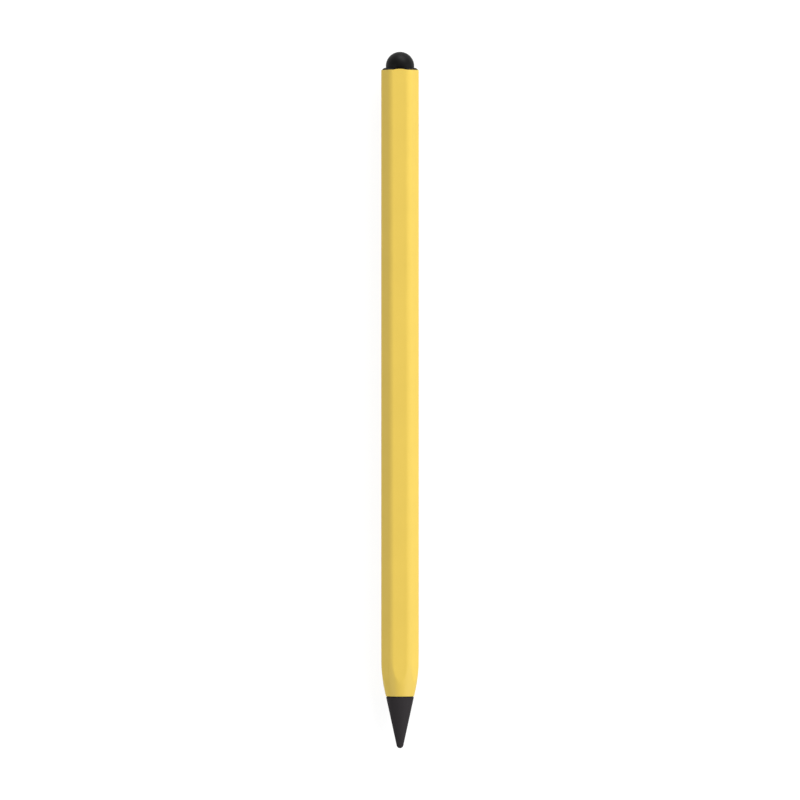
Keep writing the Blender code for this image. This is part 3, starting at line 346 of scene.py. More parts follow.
def pick(piece, domain, test):
    """Selects, in edit mode, the vertices, edges or faces of a piece that pass a test."""
    bpy.ops.mesh.select_mode(type=domain)
    bpy.ops.mesh.select_all(action="DESELECT")
    form = bmesh.from_edit_mesh(piece.data)
    for item in {"VERT": form.verts, "EDGE": form.edges, "FACE": form.faces}[domain]:
        if test(item):
            item.select_set(True)
    form.select_flush_mode()
    bmesh.update_edit_mesh(piece.data)


def turn_of(point):
    """Angle of a point about the pen's axis, from straight up towards +X."""
    return math.atan2(point.x, point.z - AXIS)


def reach_of(point):
    """Distance of a point from the pen's axis."""
    return math.hypot(point.x, point.z - AXIS)


def set_reach(vertex, reach):
    """Moves a vertex straight in or out to a distance from the pen's axis."""
    scale = reach / reach_of(vertex.co)
    vertex.co.x *= scale
    vertex.co.z = AXIS + (vertex.co.z - AXIS) * scale


def runs_along(edge):
    """Whether an edge runs along the pen."""
    first, second = edge.verts
    return abs(first.co.x - second.co.x) < WELD and abs(first.co.z - second.co.z) < WELD


def lies_between(edge, start, end):
    """Whether an edge lies between two places along the pen."""
    return all(start - WELD < vertex.co.y < end + WELD for vertex in edge.verts)


def begin(name):
    """Opens the primitive that was just added as a piece, with its place in its mesh."""
    piece = bpy.context.object
    piece.name = name
    piece.data.name = name
    bpy.ops.object.transform_apply(location=True, rotation=True, scale=True)
    bpy.ops.object.mode_set(mode="EDIT")
    return piece


def choose(piece):
    """Leaves edit mode and makes a piece the active and only selected one."""
    bpy.ops.object.mode_set(mode="OBJECT")
    bpy.ops.object.select_all(action="DESELECT")
    bpy.context.view_layer.objects.active = piece
    piece.select_set(True)


def complete(piece, finish, body, slot, *nodes):
    """Welds, turns out, shades and paints a piece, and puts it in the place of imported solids."""
    choose(piece)
    bpy.ops.object.mode_set(mode="EDIT")
    bpy.ops.mesh.select_mode(type="VERT")
    bpy.ops.mesh.select_all(action="SELECT")
    bpy.ops.mesh.remove_doubles(threshold=WELD)
    bpy.ops.mesh.normals_make_consistent(inside=False)
    bpy.ops.object.mode_set(mode="OBJECT")
    bpy.ops.object.shade_smooth_by_angle(angle=SMOOTH_ANGLE)
    piece.data.materials.clear()
    piece.data.materials.append(look(finish))
    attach(piece, body)
    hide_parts(*nodes)


def draw_line(name, points):
    """Line of edges through points, left in edit mode."""
    bpy.ops.object.select_all(action="DESELECT")
    bpy.ops.mesh.primitive_plane_add(size=WELD, location=points[0])
    piece = begin(name)
    bpy.ops.mesh.select_all(action="SELECT")
    bpy.ops.mesh.merge(type="CENTER")
    for here, there in zip(points, points[1:]):
        step = [end - start for start, end in zip(here, there)]
        bpy.ops.mesh.extrude_vertices_move(TRANSFORM_OT_translate={"value": step})
    return piece


def lathe(name, outline, steps):
    """Piece turned about the pen's axis from (y, radius) points, left in edit mode."""
    piece = draw_line(name, [(radius, y, AXIS) for y, radius in outline])
    bpy.ops.mesh.select_all(action="SELECT")
    bpy.ops.mesh.spin(steps=steps, angle=math.tau, center=(0.0, 0.0, AXIS), axis=(0.0, 1.0, 0.0))
    bpy.ops.mesh.select_all(action="SELECT")
    bpy.ops.mesh.remove_doubles(threshold=WELD)
    return piece


def ring_outline(start, end, inner, outer):
    """Closed outline of a ring with square edges."""
    return [(start, inner), (start, outer), (end, outer), (end, inner), (start, inner)]


def disc_outline(start, end, radius):
    """Outline of a disc with square edges."""
    return [(start, 0.0), (start, radius), (end, radius), (end, 0.0)]


def turned(name, outline, edge):
    """Small piece turned about the pen's axis, with its edges rounded, left in edit mode."""
    piece = lathe(name, outline, SMALL_STEPS)
    bpy.ops.mesh.normals_make_consistent(inside=False)
    places = [y for y, radius in outline]
    round_edges(piece, min(places), max(places), edge)
    return piece


def block(name, low, high):
    """Block between two corners, left in edit mode."""
    bpy.ops.object.select_all(action="DESELECT")
    bpy.ops.mesh.primitive_cube_add(size=1.0, location=(low + high) / 2, scale=high - low)
    return begin(name)


def copy_along(piece, name, step):
    """Copies a piece, with its own mesh, to another place along the pen."""
    choose(piece)
    bpy.ops.object.duplicate()
    made = bpy.context.object
    made.name = name
    made.data.name = name
    made.location.y = step
    bpy.ops.object.transform_apply(location=True, rotation=False, scale=False)
    return made


def hexagon_tube(name, apothem, corner, start, end):
    """Open six-sided tube with round corners and evenly cut flats, left in edit mode."""
    bpy.ops.object.select_all(action="DESELECT")
    bpy.ops.mesh.primitive_cylinder_add(
        vertices=6,
        radius=apothem / math.cos(math.pi / 6),
        depth=end - start,
        end_fill_type="NOTHING",
        location=(0.0, (start + end) / 2, AXIS),
        rotation=(math.pi / 2, math.pi / 6, 0.0),
    )
    piece = begin(name)
    pick(piece, "EDGE", runs_along)
    bpy.ops.mesh.bevel(
        offset=corner * math.tan(math.pi / 6),
        segments=CORNER_SEGMENTS,
        profile=CORNER_PROFILE,
        affect="EDGES",
    )
    pick(piece, "EDGE", lambda edge: not runs_along(edge) and edge.calc_length() > corner)
    bpy.ops.mesh.subdivide(number_cuts=FLAT_CUTS)
    return piece


def cut_rings(piece, start, end, cuts):
    """Cuts the stretch of a tube between two places along the pen into rings."""
    for y in (start, end):
        bpy.ops.mesh.select_all(action="SELECT")
        bpy.ops.mesh.bisect(plane_co=(0.0, y, 0.0), plane_no=(0.0, 1.0, 0.0))
    pick(piece, "EDGE", lambda edge: runs_along(edge) and lies_between(edge, start, end))
    bpy.ops.mesh.subdivide(number_cuts=cuts)


def turn_down(piece, radius_at, softness):
    """Pulls in what stands proud of a turned form and rounds the edge that this leaves."""
    form = bmesh.from_edit_mesh(piece.data)
    for vertex in form.verts:
        reach = reach_of(vertex.co)
        limit = radius_at(vertex.co.y)
        share = min(1.0, max(0.0, 0.5 + (limit - reach) / (2 * softness)))
        kept = limit + (reach - limit) * share - softness * share * (1.0 - share)
        set_reach(vertex, kept)
    bmesh.update_edit_mesh(piece.data)


def draw_in(piece, place):
    """Extrudes the selected loop, and lays each point at the (y, radius) that its angle gives."""
    bpy.ops.mesh.extrude_edges_move()
    form = bmesh.from_edit_mesh(piece.data)
    for vertex in form.verts:
        if vertex.select:
            turn = turn_of(vertex.co)
            y, radius = place(turn)
            vertex.co = (radius * math.sin(turn), y, AXIS + radius * math.cos(turn))
    bmesh.update_edit_mesh(piece.data)


def draw_along(piece, outline):
    """Extrudes the selected loop through (y, radius) points, as circles about the axis."""
    for point in outline:
        draw_in(piece, lambda turn, point=point: point)


def pick_rim(piece, start, end):
    """Selects the open loops of a tube between two places along the pen."""
    pick(piece, "EDGE", lambda edge: edge.is_boundary and lies_between(edge, start, end))


def round_edges(piece, start, end, radius):
    """Rounds the sharp edges of a piece between two places along the pen."""
    pick(
        piece,
        "EDGE",
        lambda edge: edge.calc_face_angle(0.0) > SHARP_EDGE and lies_between(edge, start, end),
    )
    bpy.ops.mesh.bevel(offset=radius, segments=EDGE_STEPS, profile=0.5, affect="EDGES")


def cut_thread(piece, front, end, radius, pitch, depth):
    """Cuts a thread, which fades at its end, into a turned piece between two places along it."""
    form = bmesh.from_edit_mesh(piece.data)
    for vertex in form.verts:
        reach = reach_of(vertex.co)
        if front < vertex.co.y < end and abs(reach - radius) < 10 * WELD:
            phase = (vertex.co.y / pitch - turn_of(vertex.co) / math.tau) % 1.0
            flank = min(1.0, max(0.0, FLANK_FALL * abs(phase - 0.5) - FLANK_START))
            fade = min(1.0, (end - vertex.co.y) / pitch)
            set_reach(vertex, reach - depth * flank * fade)
    bmesh.update_edit_mesh(piece.data)


def thread_rows(front, end, radius, pitch):
    """Rows of an outline that are fine enough to take a thread."""
    rows = round((end - front) / pitch * THREAD_ROWS)
    return [(front + (end - front) * i / rows, radius) for i in range(rows + 1)]


def cut_away(piece, cutter):
    """Cuts the form of another object out of a piece."""
    choose(piece)
    cut = piece.modifiers.new("cut", "BOOLEAN")
    cut.object = cutter
    cut.operation = "DIFFERENCE"
    cut.solver = "EXACT"
    bpy.ops.object.modifier_apply(modifier=cut.name)
    bpy.data.objects.remove(cutter, do_unlink=True)


def cut_block(piece, low, high):
    """Cuts a block between two corners out of a piece."""
    choose(piece)
    cut_away(piece, block("cutter", low, high))


def pull(step):
    """Extrudes the selected faces by a step."""
    bpy.ops.mesh.extrude_region_move(TRANSFORM_OT_translate={"value": step})


def repeat(piece, count, step):
    """Repeats the mesh of a piece in even steps."""
    choose(piece)
    row = piece.modifiers.new("row", "ARRAY")
    row.count = count
    row.use_relative_offset = False
    row.use_constant_offset = True
    row.constant_offset_displace = step
    bpy.ops.object.modifier_apply(modifier=row.name)


def node(tree, kind, inputs=None, **settings):
    """Adds a node to a tree, with its settings and with values or links for its inputs."""
    made = tree.nodes.new(kind)
    for key, value in settings.items():
        setattr(made, key, value)
    for key, value in (inputs or {}).items():
        if isinstance(value, bpy.types.NodeSocket):
            tree.links.new(value, made.inputs[key])
        else:
            made.inputs[key].default_value = value
    return made


def start_finish(name):
    """New material, a way to add nodes to it, and the coordinates of the object that it is on."""
    made = bpy.data.materials.new(name)
    made.use_nodes = True
    made.node_tree.nodes.clear()
    add = partial(node, made.node_tree)
    return made, add, add("ShaderNodeTexCoord").outputs["Object"]


def end_finish(add, inputs):
    """Closes a material with one Principled shader."""
    shader = add("ShaderNodeBsdfPrincipled", inputs)
    add("ShaderNodeOutputMaterial", {"Surface": shader.outputs["BSDF"]})


def tinted(shade, *shares):
    """A colour made lighter or darker by each of some shares."""
    return [[min(1.0, channel * (1.0 + share)) for channel in shade] + [1.0] for share in shares]


def moulded(name, shade, roughness, gloss, grain, depth, cloud=0.03):
    """Moulded plastic or rubber with a fine grain in its skin and a faint cloud in its colour."""
    made, add, place = start_finish(name)
    drift = add("ShaderNodeTexNoise", {"Vector": place, "Scale": 1 / CLOUD_WIDTH, "Detail": 3.0})
    skin = add("ShaderNodeTexNoise", {"Vector": place, "Scale": 1 / grain, "Detail": 2.0})
    shades = (drift.outputs[0], *tinted(shade, -cloud, cloud))
    paint = add("ShaderNodeMix", dict(zip(MIX_INPUTS, shades)), data_type="RGBA")
    spread = {"To Min": roughness - MOULD_STRAY, "To Max": roughness + MOULD_STRAY}
    dull = add("ShaderNodeMapRange", {"Value": skin.outputs[0], **spread})
    bump = add("ShaderNodeBump", {"Height": skin.outputs[0], "Strength": 0.5, "Distance": depth})
    inputs = {"Base Color": paint.outputs[MIX_RESULT], "Roughness": dull.outputs[0]}
    end_finish(add, {**inputs, "Specular IOR Level": gloss, "Normal": bump.outputs[0]})
    return made


def metal(name, shade, roughness, lines):
    """Bare or plated metal with fine tool lines, whose spacing is given along X, Y and Z."""
    made, add, place = start_finish(name)
    scale = [1 / gap for gap in lines]
    place = add("ShaderNodeMapping", {"Vector": place, "Scale": scale}).outputs[0]
    grain = {"Scale": 1.0, "Detail": 4.0, "Roughness": 0.6}
    tool = add("ShaderNodeTexNoise", {"Vector": place, **grain}).outputs[0]
    shades = (tool, *tinted(shade, *TOOL_TINTS))
    paint = add("ShaderNodeMix", dict(zip(MIX_INPUTS, shades)), data_type="RGBA")
    spread = {"To Min": roughness - TOOL_STRAY, "To Max": roughness + TOOL_STRAY}
    dull = add("ShaderNodeMapRange", {"Value": tool, **spread})
    bump = add("ShaderNodeBump", {"Height": tool, "Strength": 0.3, "Distance": TOOL_DEPTH})
    inputs = {"Base Color": paint.outputs[MIX_RESULT], "Roughness": dull.outputs[0]}
    end_finish(add, {**inputs, "Metallic": 1.0, "Normal": bump.outputs[0]})
    return made


def tracked(name, shade, roughness, run, gap, under):
    """Film or mask over copper tracks, which show through as paler runs along the pen."""
    made, add, place = start_finish(name)
    along = add("ShaderNodeMapping", {"Vector": place, "Rotation": (0.0, 0.0, math.pi / 2)})
    first, second = tinted(under, *TRACK_TINTS)
    tracks = add(
        "ShaderNodeTexBrick",
        {
            "Vector": along.outputs[0],
            "Color1": first,
            "Color2": second,
            "Mortar": [*shade, 1.0],
            "Scale": 1.0,
            "Mortar Size": gap / 4,
            "Mortar Smooth": 0.2,
            "Brick Width": run,
            "Row Height": gap,
        },
    )
    relief = {"Height": tracks.outputs[1], "Strength": 0.4, "Distance": TRACK_DEPTH}
    bump = add("ShaderNodeBump", relief, invert=True)
    specks = add("ShaderNodeTexNoise", {"Vector": place, "Scale": 1 / SPECK_WIDTH, "Detail": 2.0})
    spread = {"To Min": roughness - TRACK_STRAY, "To Max": roughness + TRACK_STRAY}
    dull = add("ShaderNodeMapRange", {"Value": specks.outputs[0], **spread})
    inputs = {"Base Color": tracks.outputs[0], "Roughness": dull.outputs[0]}
    end_finish(add, {**inputs, "Specular IOR Level": 0.5, "Normal": bump.outputs[0]})
    return made


def foamed(name, shade, cell):
    """Open foam, whose cells are pits in a dull skin, with painted shade that darkens each pit
    towards its middle.
    """
    made, add, place = start_finish(name)
    cells = add("ShaderNodeTexVoronoi", {"Vector": place, "Scale": 1 / cell}).outputs[0]
    # Painted shade: each cell is darker towards its middle, where the bump sinks it into a pit
    shades = (cells, *tinted(shade, *FOAM_PIT_SHADE_TINTS))
    paint = add("ShaderNodeMix", dict(zip(MIX_INPUTS, shades)), data_type="RGBA")
    bump = add("ShaderNodeBump", {"Height": cells, "Strength": 0.8, "Distance": cell / 2})
    inputs = {"Base Color": paint.outputs[MIX_RESULT], "Roughness": 0.9}
    end_finish(add, {**inputs, "Specular IOR Level": 0.2, "Normal": bump.outputs[0]})
    return made


# How each finish is made, with the settings in the order in which its function takes them
FINISHES = {
    # ABS moulded in a spark-eroded tool: an even satin yellow that spreads each reflection into a
    # soft glow. The tool's grain is a few hundredths of a millimetre, and is drawn coarser so that
    # it shows.
    "satin_yellow_abs": (moulded, 0.45, 0.14, 0.30 * MM, 0.002 * MM),
    # Acetal moulded with carbon black: a slippery charcoal with a broad, faint sheen
    "charcoal_acetal": (moulded, 0.60, 0.03, 0.25 * MM, 0.002 * MM),
    # ABS with carbon black: deep black with a satin skin
    "black_abs": (moulded, 0.50, 0.06, 0.25 * MM, 0.002 * MM),
    # Silicone rubber moulded in a blasted tool: a dull black with a wide, soft highlight
    "black_silicone": (moulded, 0.48, 0.09, 0.35 * MM, 0.004 * MM),
    # Silicone rubber from a polished tool: a dark grey that is a little greasy to the eye
    "grey_silicone": (moulded, 0.45, 0.4, 0.30 * MM, 0.002 * MM),
    # Acetal without pigment: a milky white with a waxy sheen
    "white_acetal": (moulded, 0.40, 0.5, 0.30 * MM, 0.002 * MM),
    # Nylon filled with glass fibre: a grey that looks dusty because the fibres roughen the skin
    "grey_nylon": (moulded, 0.55, 0.4, 0.18 * MM, 0.006 * MM, 0.08),
    # Epoxy moulded over a die: a dead black with a fine matt grain
    "moulded_epoxy": (moulded, 0.60, 0.4, 0.12 * MM, 0.004 * MM),
    # Ferrite pressed and sintered: a dark stone grey with open pores
    "sintered_ferrite": (moulded, 0.65, 0.5, 0.10 * MM, 0.010 * MM, 0.15),
    # Polyester film shrunk over the cell: a smooth blue with wide reflections
    "blue_shrink_film": (moulded, 0.30, 0.5, 0.80 * MM, 0.010 * MM),
    # PVC drawn over the leads: plain colours with a soft gloss
    "red_insulation": (moulded, 0.40, 0.5, 0.20 * MM, 0.003 * MM),
    "black_insulation": (moulded, 0.40, 0.5, 0.20 * MM, 0.003 * MM),
    # Stainless steel turned on a lathe: a cool grey with fine rings that break its reflections
    "turned_steel": (metal, 0.28, (1.0 * MM, 0.06 * MM, 1.0 * MM)),
    # Free-cutting brass turned on a lathe: a warm yellow with fine rings
    "turned_brass": (metal, 0.30, (1.0 * MM, 0.06 * MM, 1.0 * MM)),
    # Copper wire under clear enamel: a warm brown red with drawn lines along the wire
    "enamelled_copper": (metal, 0.30, (0.10 * MM, 4.0 * MM, 0.10 * MM)),
    # Nickel plated in a barrel: a warm grey with soft, random scuffs
    "nickel_plate": (metal, 0.25, (0.35 * MM, 0.35 * MM, 0.35 * MM)),
    # Copper strip dipped in tin: a bright, slightly milky silver
    "tinned_copper": (metal, 0.32, (0.15 * MM, 0.15 * MM, 0.15 * MM)),
    # Aluminium drawn to a can: a pale grey with lines along the draw
    "drawn_aluminium": (metal, 0.35, (0.12 * MM, 6.0 * MM, 0.12 * MM)),
    # Solder mask over etched copper: a glossy green in which the tracks stand as paler runs
    "solder_mask": (tracked, 0.35, 6.0 * MM, 0.40 * MM, linear("2F7A4C")),
    # Polyimide laminated over copper tracks: a clear amber with coppery lines along the cable
    "polyimide_film": (tracked, 0.30, 80.0 * MM, 0.32 * MM, linear("C98436")),
    # Polyurethane foam cut from sheet: a dull grey with open cells
    "grey_foam": (foamed, 0.25 * MM),
}


def look(name):
    """Material of a finish, made the first time that a piece asks for it."""
    made = bpy.data.materials.get(name)
    if made is None:
        make, *settings = FINISHES[name]
        made = make(name, list(getattr(bpy.context.scene.pen_colours, name)), *settings)
    return made


class PEN_OT_barrel(bpy.types.Operator):
    """Model the six-sided barrel with its turned nose, its bore and the low crest on its rim"""

    bl_idname = "pen.barrel"
    bl_label = "Barrel"

    def execute(self, context):
        size = context.scene.pen_sizes
        front = BARREL_LOW.y
        rim = front + size.barrel_length
        shoulder = front + size.nose_length
        drop = CORNER_REACH - size.nose_end
        sweep = (size.nose_length ** 2 + drop ** 2) / (2 * drop)

        def nose(y):
            """Radius of the turned nose at a place along the pen"""
            away = shoulder - y
            if away < 0.0:
                return CORNER_REACH + away ** 2 / (2 * sweep)
            return CORNER_REACH - sweep + math.sqrt(sweep ** 2 - away ** 2)

        def arch(turn):
            """Rise of the crest over the rim at an angle about the axis"""
            across = APOTHEM * math.tan(turn) / (size.crest_width / 2)
            if abs(turn) < math.pi / 2 and abs(across) < 1.0:
                return size.crest_height * (1.0 - across ** 2)
            return 0.0

        def straightened(radius, turn):
            """Radius of a round mouth, made straight behind the crest"""
            share = min(1.0, CREST_BLEND * arch(turn) / size.crest_height)
            return radius * (1.0 + (1.0 / math.cos(turn) - 1.0) * share)

        piece = hexagon_tube("barrel_shell", APOTHEM, size.corner, front, rim)
        cut_rings(piece, front, shoulder + math.sqrt(2 * sweep * size.nose_soft), NOSE_CUTS)
        turn_down(piece, nose, size.nose_soft)
        pick_rim(piece, rim, rim)
        form = bmesh.from_edit_mesh(piece.data)
        for vertex in form.verts:
            if vertex.select:
                vertex.co.y += arch(turn_of(vertex.co))
        bmesh.update_edit_mesh(piece.data)
        draw_in(piece, lambda turn: (rim + arch(turn), straightened(size.crest_inner, turn)))
        round_edges(piece, rim, BARREL_HIGH.y + SEAT, size.rim_round)
        pick_rim(piece, rim, BARREL_HIGH.y + SEAT)
        draw_in(piece, lambda turn: (rim, straightened(size.mouth, turn)))
        neck = front + size.nose_bore_length
        draw_along(
            piece,
            [
                (rim - size.mouth + size.bore, size.bore),
                (neck, size.bore),
                (neck, size.nose_bore),
                (front + size.nose_recess_depth, size.nose_bore),
                (front + size.nose_recess_depth, size.nose_recess),
                (front + size.nose_mouth_depth, size.nose_recess),
                (front, size.nose_mouth),
            ],
        )
        pick_rim(piece, front, front)
        bpy.ops.mesh.bridge_edge_loops()
        round_edges(piece, front, front, size.nose_round)
        complete(piece, "satin_yellow_abs", "pen_body", "yellow_plastic", "barrel")
        return {"FINISHED"}


class PEN_OT_nib(bpy.types.Operator):
    """Model the cone nib with its round point, the pocket for its sealing ring and its socket"""

    bl_idname = "pen.nib"
    bl_label = "Nib"

    def execute(self, context):
        size = context.scene.pen_sizes
        point = NIB_LOW.y
        base = NIB_HIGH.y
        run = base - point - size.nib_point
        side = math.hypot(run, size.nib_base)
        slope = math.atan2(size.nib_base, run) - math.asin(size.nib_point / side)
        lean = 90.0 + math.degrees(slope)
        edge = size.nib_round
        height = size.nib_base - edge * math.tan(slope) - edge / math.cos(slope)
        pocket = base - size.nib_pocket_depth
        socket = base - size.nib_socket_depth
        outline = arc((point + size.nib_point, 0.0), size.nib_point, 180.0, lean, ARC_STEPS)
        outline += arc((base - edge, height), edge, lean, 0.0, EDGE_STEPS)
        outline += [
            (base, size.nib_pocket),
            (pocket, size.nib_pocket),
            (pocket, size.nib_socket),
            (socket, size.nib_socket),
            (socket - size.nib_socket_point, 0.0),
        ]
        piece = lathe("nib_cone", outline, TURN_STEPS)
        complete(piece, "charcoal_acetal", "nib", "nib_plastic", "nib")
        return {"FINISHED"}


class PEN_OT_stem(bpy.types.Operator):
    """Model the stem with the nib's thread and the flange that the nib stops against"""

    bl_idname = "pen.stem"
    bl_label = "Stem"

    def execute(self, context):
        size = context.scene.pen_sizes
        front = STEM_LOW.y
        end = front + size.thread_length
        outline = [(front, 0.0), (front, size.stem - size.stem_edge)]
        outline += thread_rows(front + size.stem_edge, end, size.stem, size.thread_pitch)
        outline += [
            (STEM_HIGH.y - size.stem_edge, size.stem),
            (STEM_HIGH.y, size.stem - size.stem_edge),
            (STEM_HIGH.y, 0.0),
        ]
        piece = lathe("stem_thread", outline, SMALL_STEPS)
        cut_thread(piece, front, end, size.stem, size.thread_pitch, size.thread_depth)
        complete(piece, "turned_steel", "stem", "steel", "nib_stem")
        self.mould_flange(size)
        return {"FINISHED"}

    def mould_flange(self, size):
        """Moulds the black flange around the stem, in the seam between the nib and the nose"""
        start = NIB_HIGH.y + SEAT
        end = start + size.flange
        outline = [
            (start, size.stem),
            (start, size.flange_front),
            (start + size.flange_taper, STEM_HIGH.x),
            (end, STEM_HIGH.x),
            (end, size.stem),
            (start, size.stem),
        ]
        piece = lathe("stem_flange", outline, TURN_STEPS)
        complete(piece, "black_abs", "stem", "black_plastic")


class PEN_OT_seals(bpy.types.Operator):
    """Model the round sealing rings on the stem and around the end cap's plug"""

    bl_idname = "pen.seals"
    bl_label = "Sealing Rings"

    def execute(self, context):
        half = context.scene.pen_sizes.seal / 2
        rings = (("nib_ring", "nib_ring", "nib_seal"), ("cap_ring", "pen_body", "cap_seal"))
        for name, body, solid in rings:
            low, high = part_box(solid)
            outline = arc(((low.y + high.y) / 2, high.x - half), half, 0.0, 360.0, ARC_STEPS)
            piece = lathe(f"{name}_seal", outline, SMALL_STEPS)
            complete(piece, "grey_silicone", body, "silicone", solid)
        return {"FINISHED"}


class PEN_OT_end_cap(bpy.types.Operator):
    """Model the end cap with its turned bevel, its notch, its recess and its grooved plug"""

    bl_idname = "pen.end_cap"
    bl_label = "End Cap"

    def execute(self, context):
        size = context.scene.pen_sizes
        top = CAP_HIGH.y
        rim = top - size.cap_height
        under = rim + HAIR
        plug = CAP_LOW.y
        floor = top - size.cap_recess
        recess = TIP_HIGH.x + RUN
        narrow = CORNER_REACH - size.cap_inset - size.cap_bevel
        lean = size.cap_bevel / size.cap_height
        groove = plug + size.cap_groove_front
        groove_back = groove + size.cap_groove_width
        chamfer = size.mouth - size.bore
        apothem = APOTHEM - size.cap_inset
        piece = hexagon_tube("cap_shell", apothem, size.corner - size.cap_inset, under, top)
        cut_rings(piece, under, top, CAP_CUTS)
        turn_down(piece, lambda y: narrow + (top - y) * lean, size.cap_round)
        pick_rim(piece, top, top)
        draw_along(piece, [(top, recess), (floor, recess), (floor, size.tip_neck)])
        round_edges(piece, top, top, size.cap_round)
        pick_rim(piece, floor, floor)
        draw_along(
            piece,
            [
                (plug, size.tip_neck),
                (plug, size.cap_plug),
                (groove, size.cap_plug),
                (groove, size.cap_groove),
                (groove_back, size.cap_groove),
                (groove_back, size.cap_plug),
                (rim - chamfer, size.cap_plug),
                (under, size.cap_plug + chamfer + SEAT),
            ],
        )
        pick_rim(piece, under, under)
        bpy.ops.mesh.bridge_edge_loops()
        self.cut_notch(piece, size, (rim + top) / 2)
        complete(piece, "black_abs", "pen_body", "black_plastic", "end_cap")
        return {"FINISHED"}

    def cut_notch(self, piece, size, middle):
        """Cuts the notch that the barrel's crest keys into"""
        half = size.crest_width / 2
        floor = AXIS + size.crest_inner - 2 * SEAT
        cut_block(
            piece,
            Vector((-half, middle - size.cap_height, floor)),
            Vector((half, middle + size.cap_height, AXIS + CORNER_REACH)),
        )


class PEN_OT_soft_tip(bpy.types.Operator):
    """Model the hollow soft tip that is snapped over the plunger's head"""

    bl_idname = "pen.soft_tip"
    bl_label = "Soft Tip"

    def execute(self, context):
        size = context.scene.pen_sizes
        radius = TIP_HIGH.x
        middle = TIP_HIGH.y - radius
        foot = TIP_LOW.y
        edge = size.tip_round
        lip = math.degrees(math.acos(size.tip_lip / size.tip_hollow))
        outline = arc((middle, 0.0), radius, 0.0, 90.0, 2 * ARC_STEPS)
        outline += arc((foot + edge, radius - edge), edge, 90.0, 180.0, EDGE_STEPS)
        outline += [(foot, size.tip_neck), (middle + size.tip_lip, size.tip_neck)]
        outline += arc((middle, 0.0), size.tip_hollow, lip, 0.0, ARC_STEPS)
        piece = lathe("tip_dome", outline, TURN_STEPS)
        complete(piece, "black_silicone", "button", "black_rubber", "soft_tip")
        return {"FINISHED"}


class PEN_OT_springs(bpy.types.Operator):
    """Model the wound springs behind the stem's collar and in front of the plunger's flange"""

    bl_idname = "pen.springs"
    bl_label = "Springs"

    def execute(self, context):
        size = context.scene.pen_sizes
        for solid, joint, turns, held in SPRINGS:
            low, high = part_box(solid)
            start = low.y + size.wire / 2
            run = high.y - low.y - size.wire
            piece = self.wind(f"{solid}_coil", size, start, run, turns + 2)
            complete(piece, "turned_steel", "pen_body", "steel", solid)
            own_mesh(piece)
        return {"FINISHED"}

    def wind(self, name, size, start, run, turns):
        """Winds wire into a spring whose first and last turns lie closed"""
        bpy.ops.object.select_all(action="DESELECT")
        bpy.ops.mesh.primitive_circle_add(
            vertices=WIRE_STEPS, radius=size.wire / 2, location=(size.coil, 0.0, AXIS)
        )
        piece = begin(name)
        bpy.ops.mesh.select_all(action="SELECT")
        bpy.ops.mesh.spin(
            steps=turns * COIL_STEPS,
            angle=turns * math.tau,
            center=(0.0, 0.0, AXIS),
            axis=(0.0, 1.0, 0.0),
            use_auto_merge=False,
        )
        closed = CLOSED_PITCH * size.wire
        pitch = (run - 2 * closed) / (turns - 2)
        form = bmesh.from_edit_mesh(piece.data)
        for index, vertex in enumerate(form.verts):
            turn = index // WIRE_STEPS / COIL_STEPS
            rise = closed * min(turn, 1.0) + pitch * min(max(turn - 1.0, 0.0), turns - 2.0)
            rise += closed * max(turn - turns + 1.0, 0.0)
            vertex.co.y += start + rise
        bmesh.update_edit_mesh(piece.data)
        for first in (0, turns * COIL_STEPS * WIRE_STEPS):
            end = range(first, first + WIRE_STEPS)
            pick(piece, "EDGE", lambda edge: all(vertex.index in end for vertex in edge.verts))
            bpy.ops.mesh.edge_face_add()
        return piece


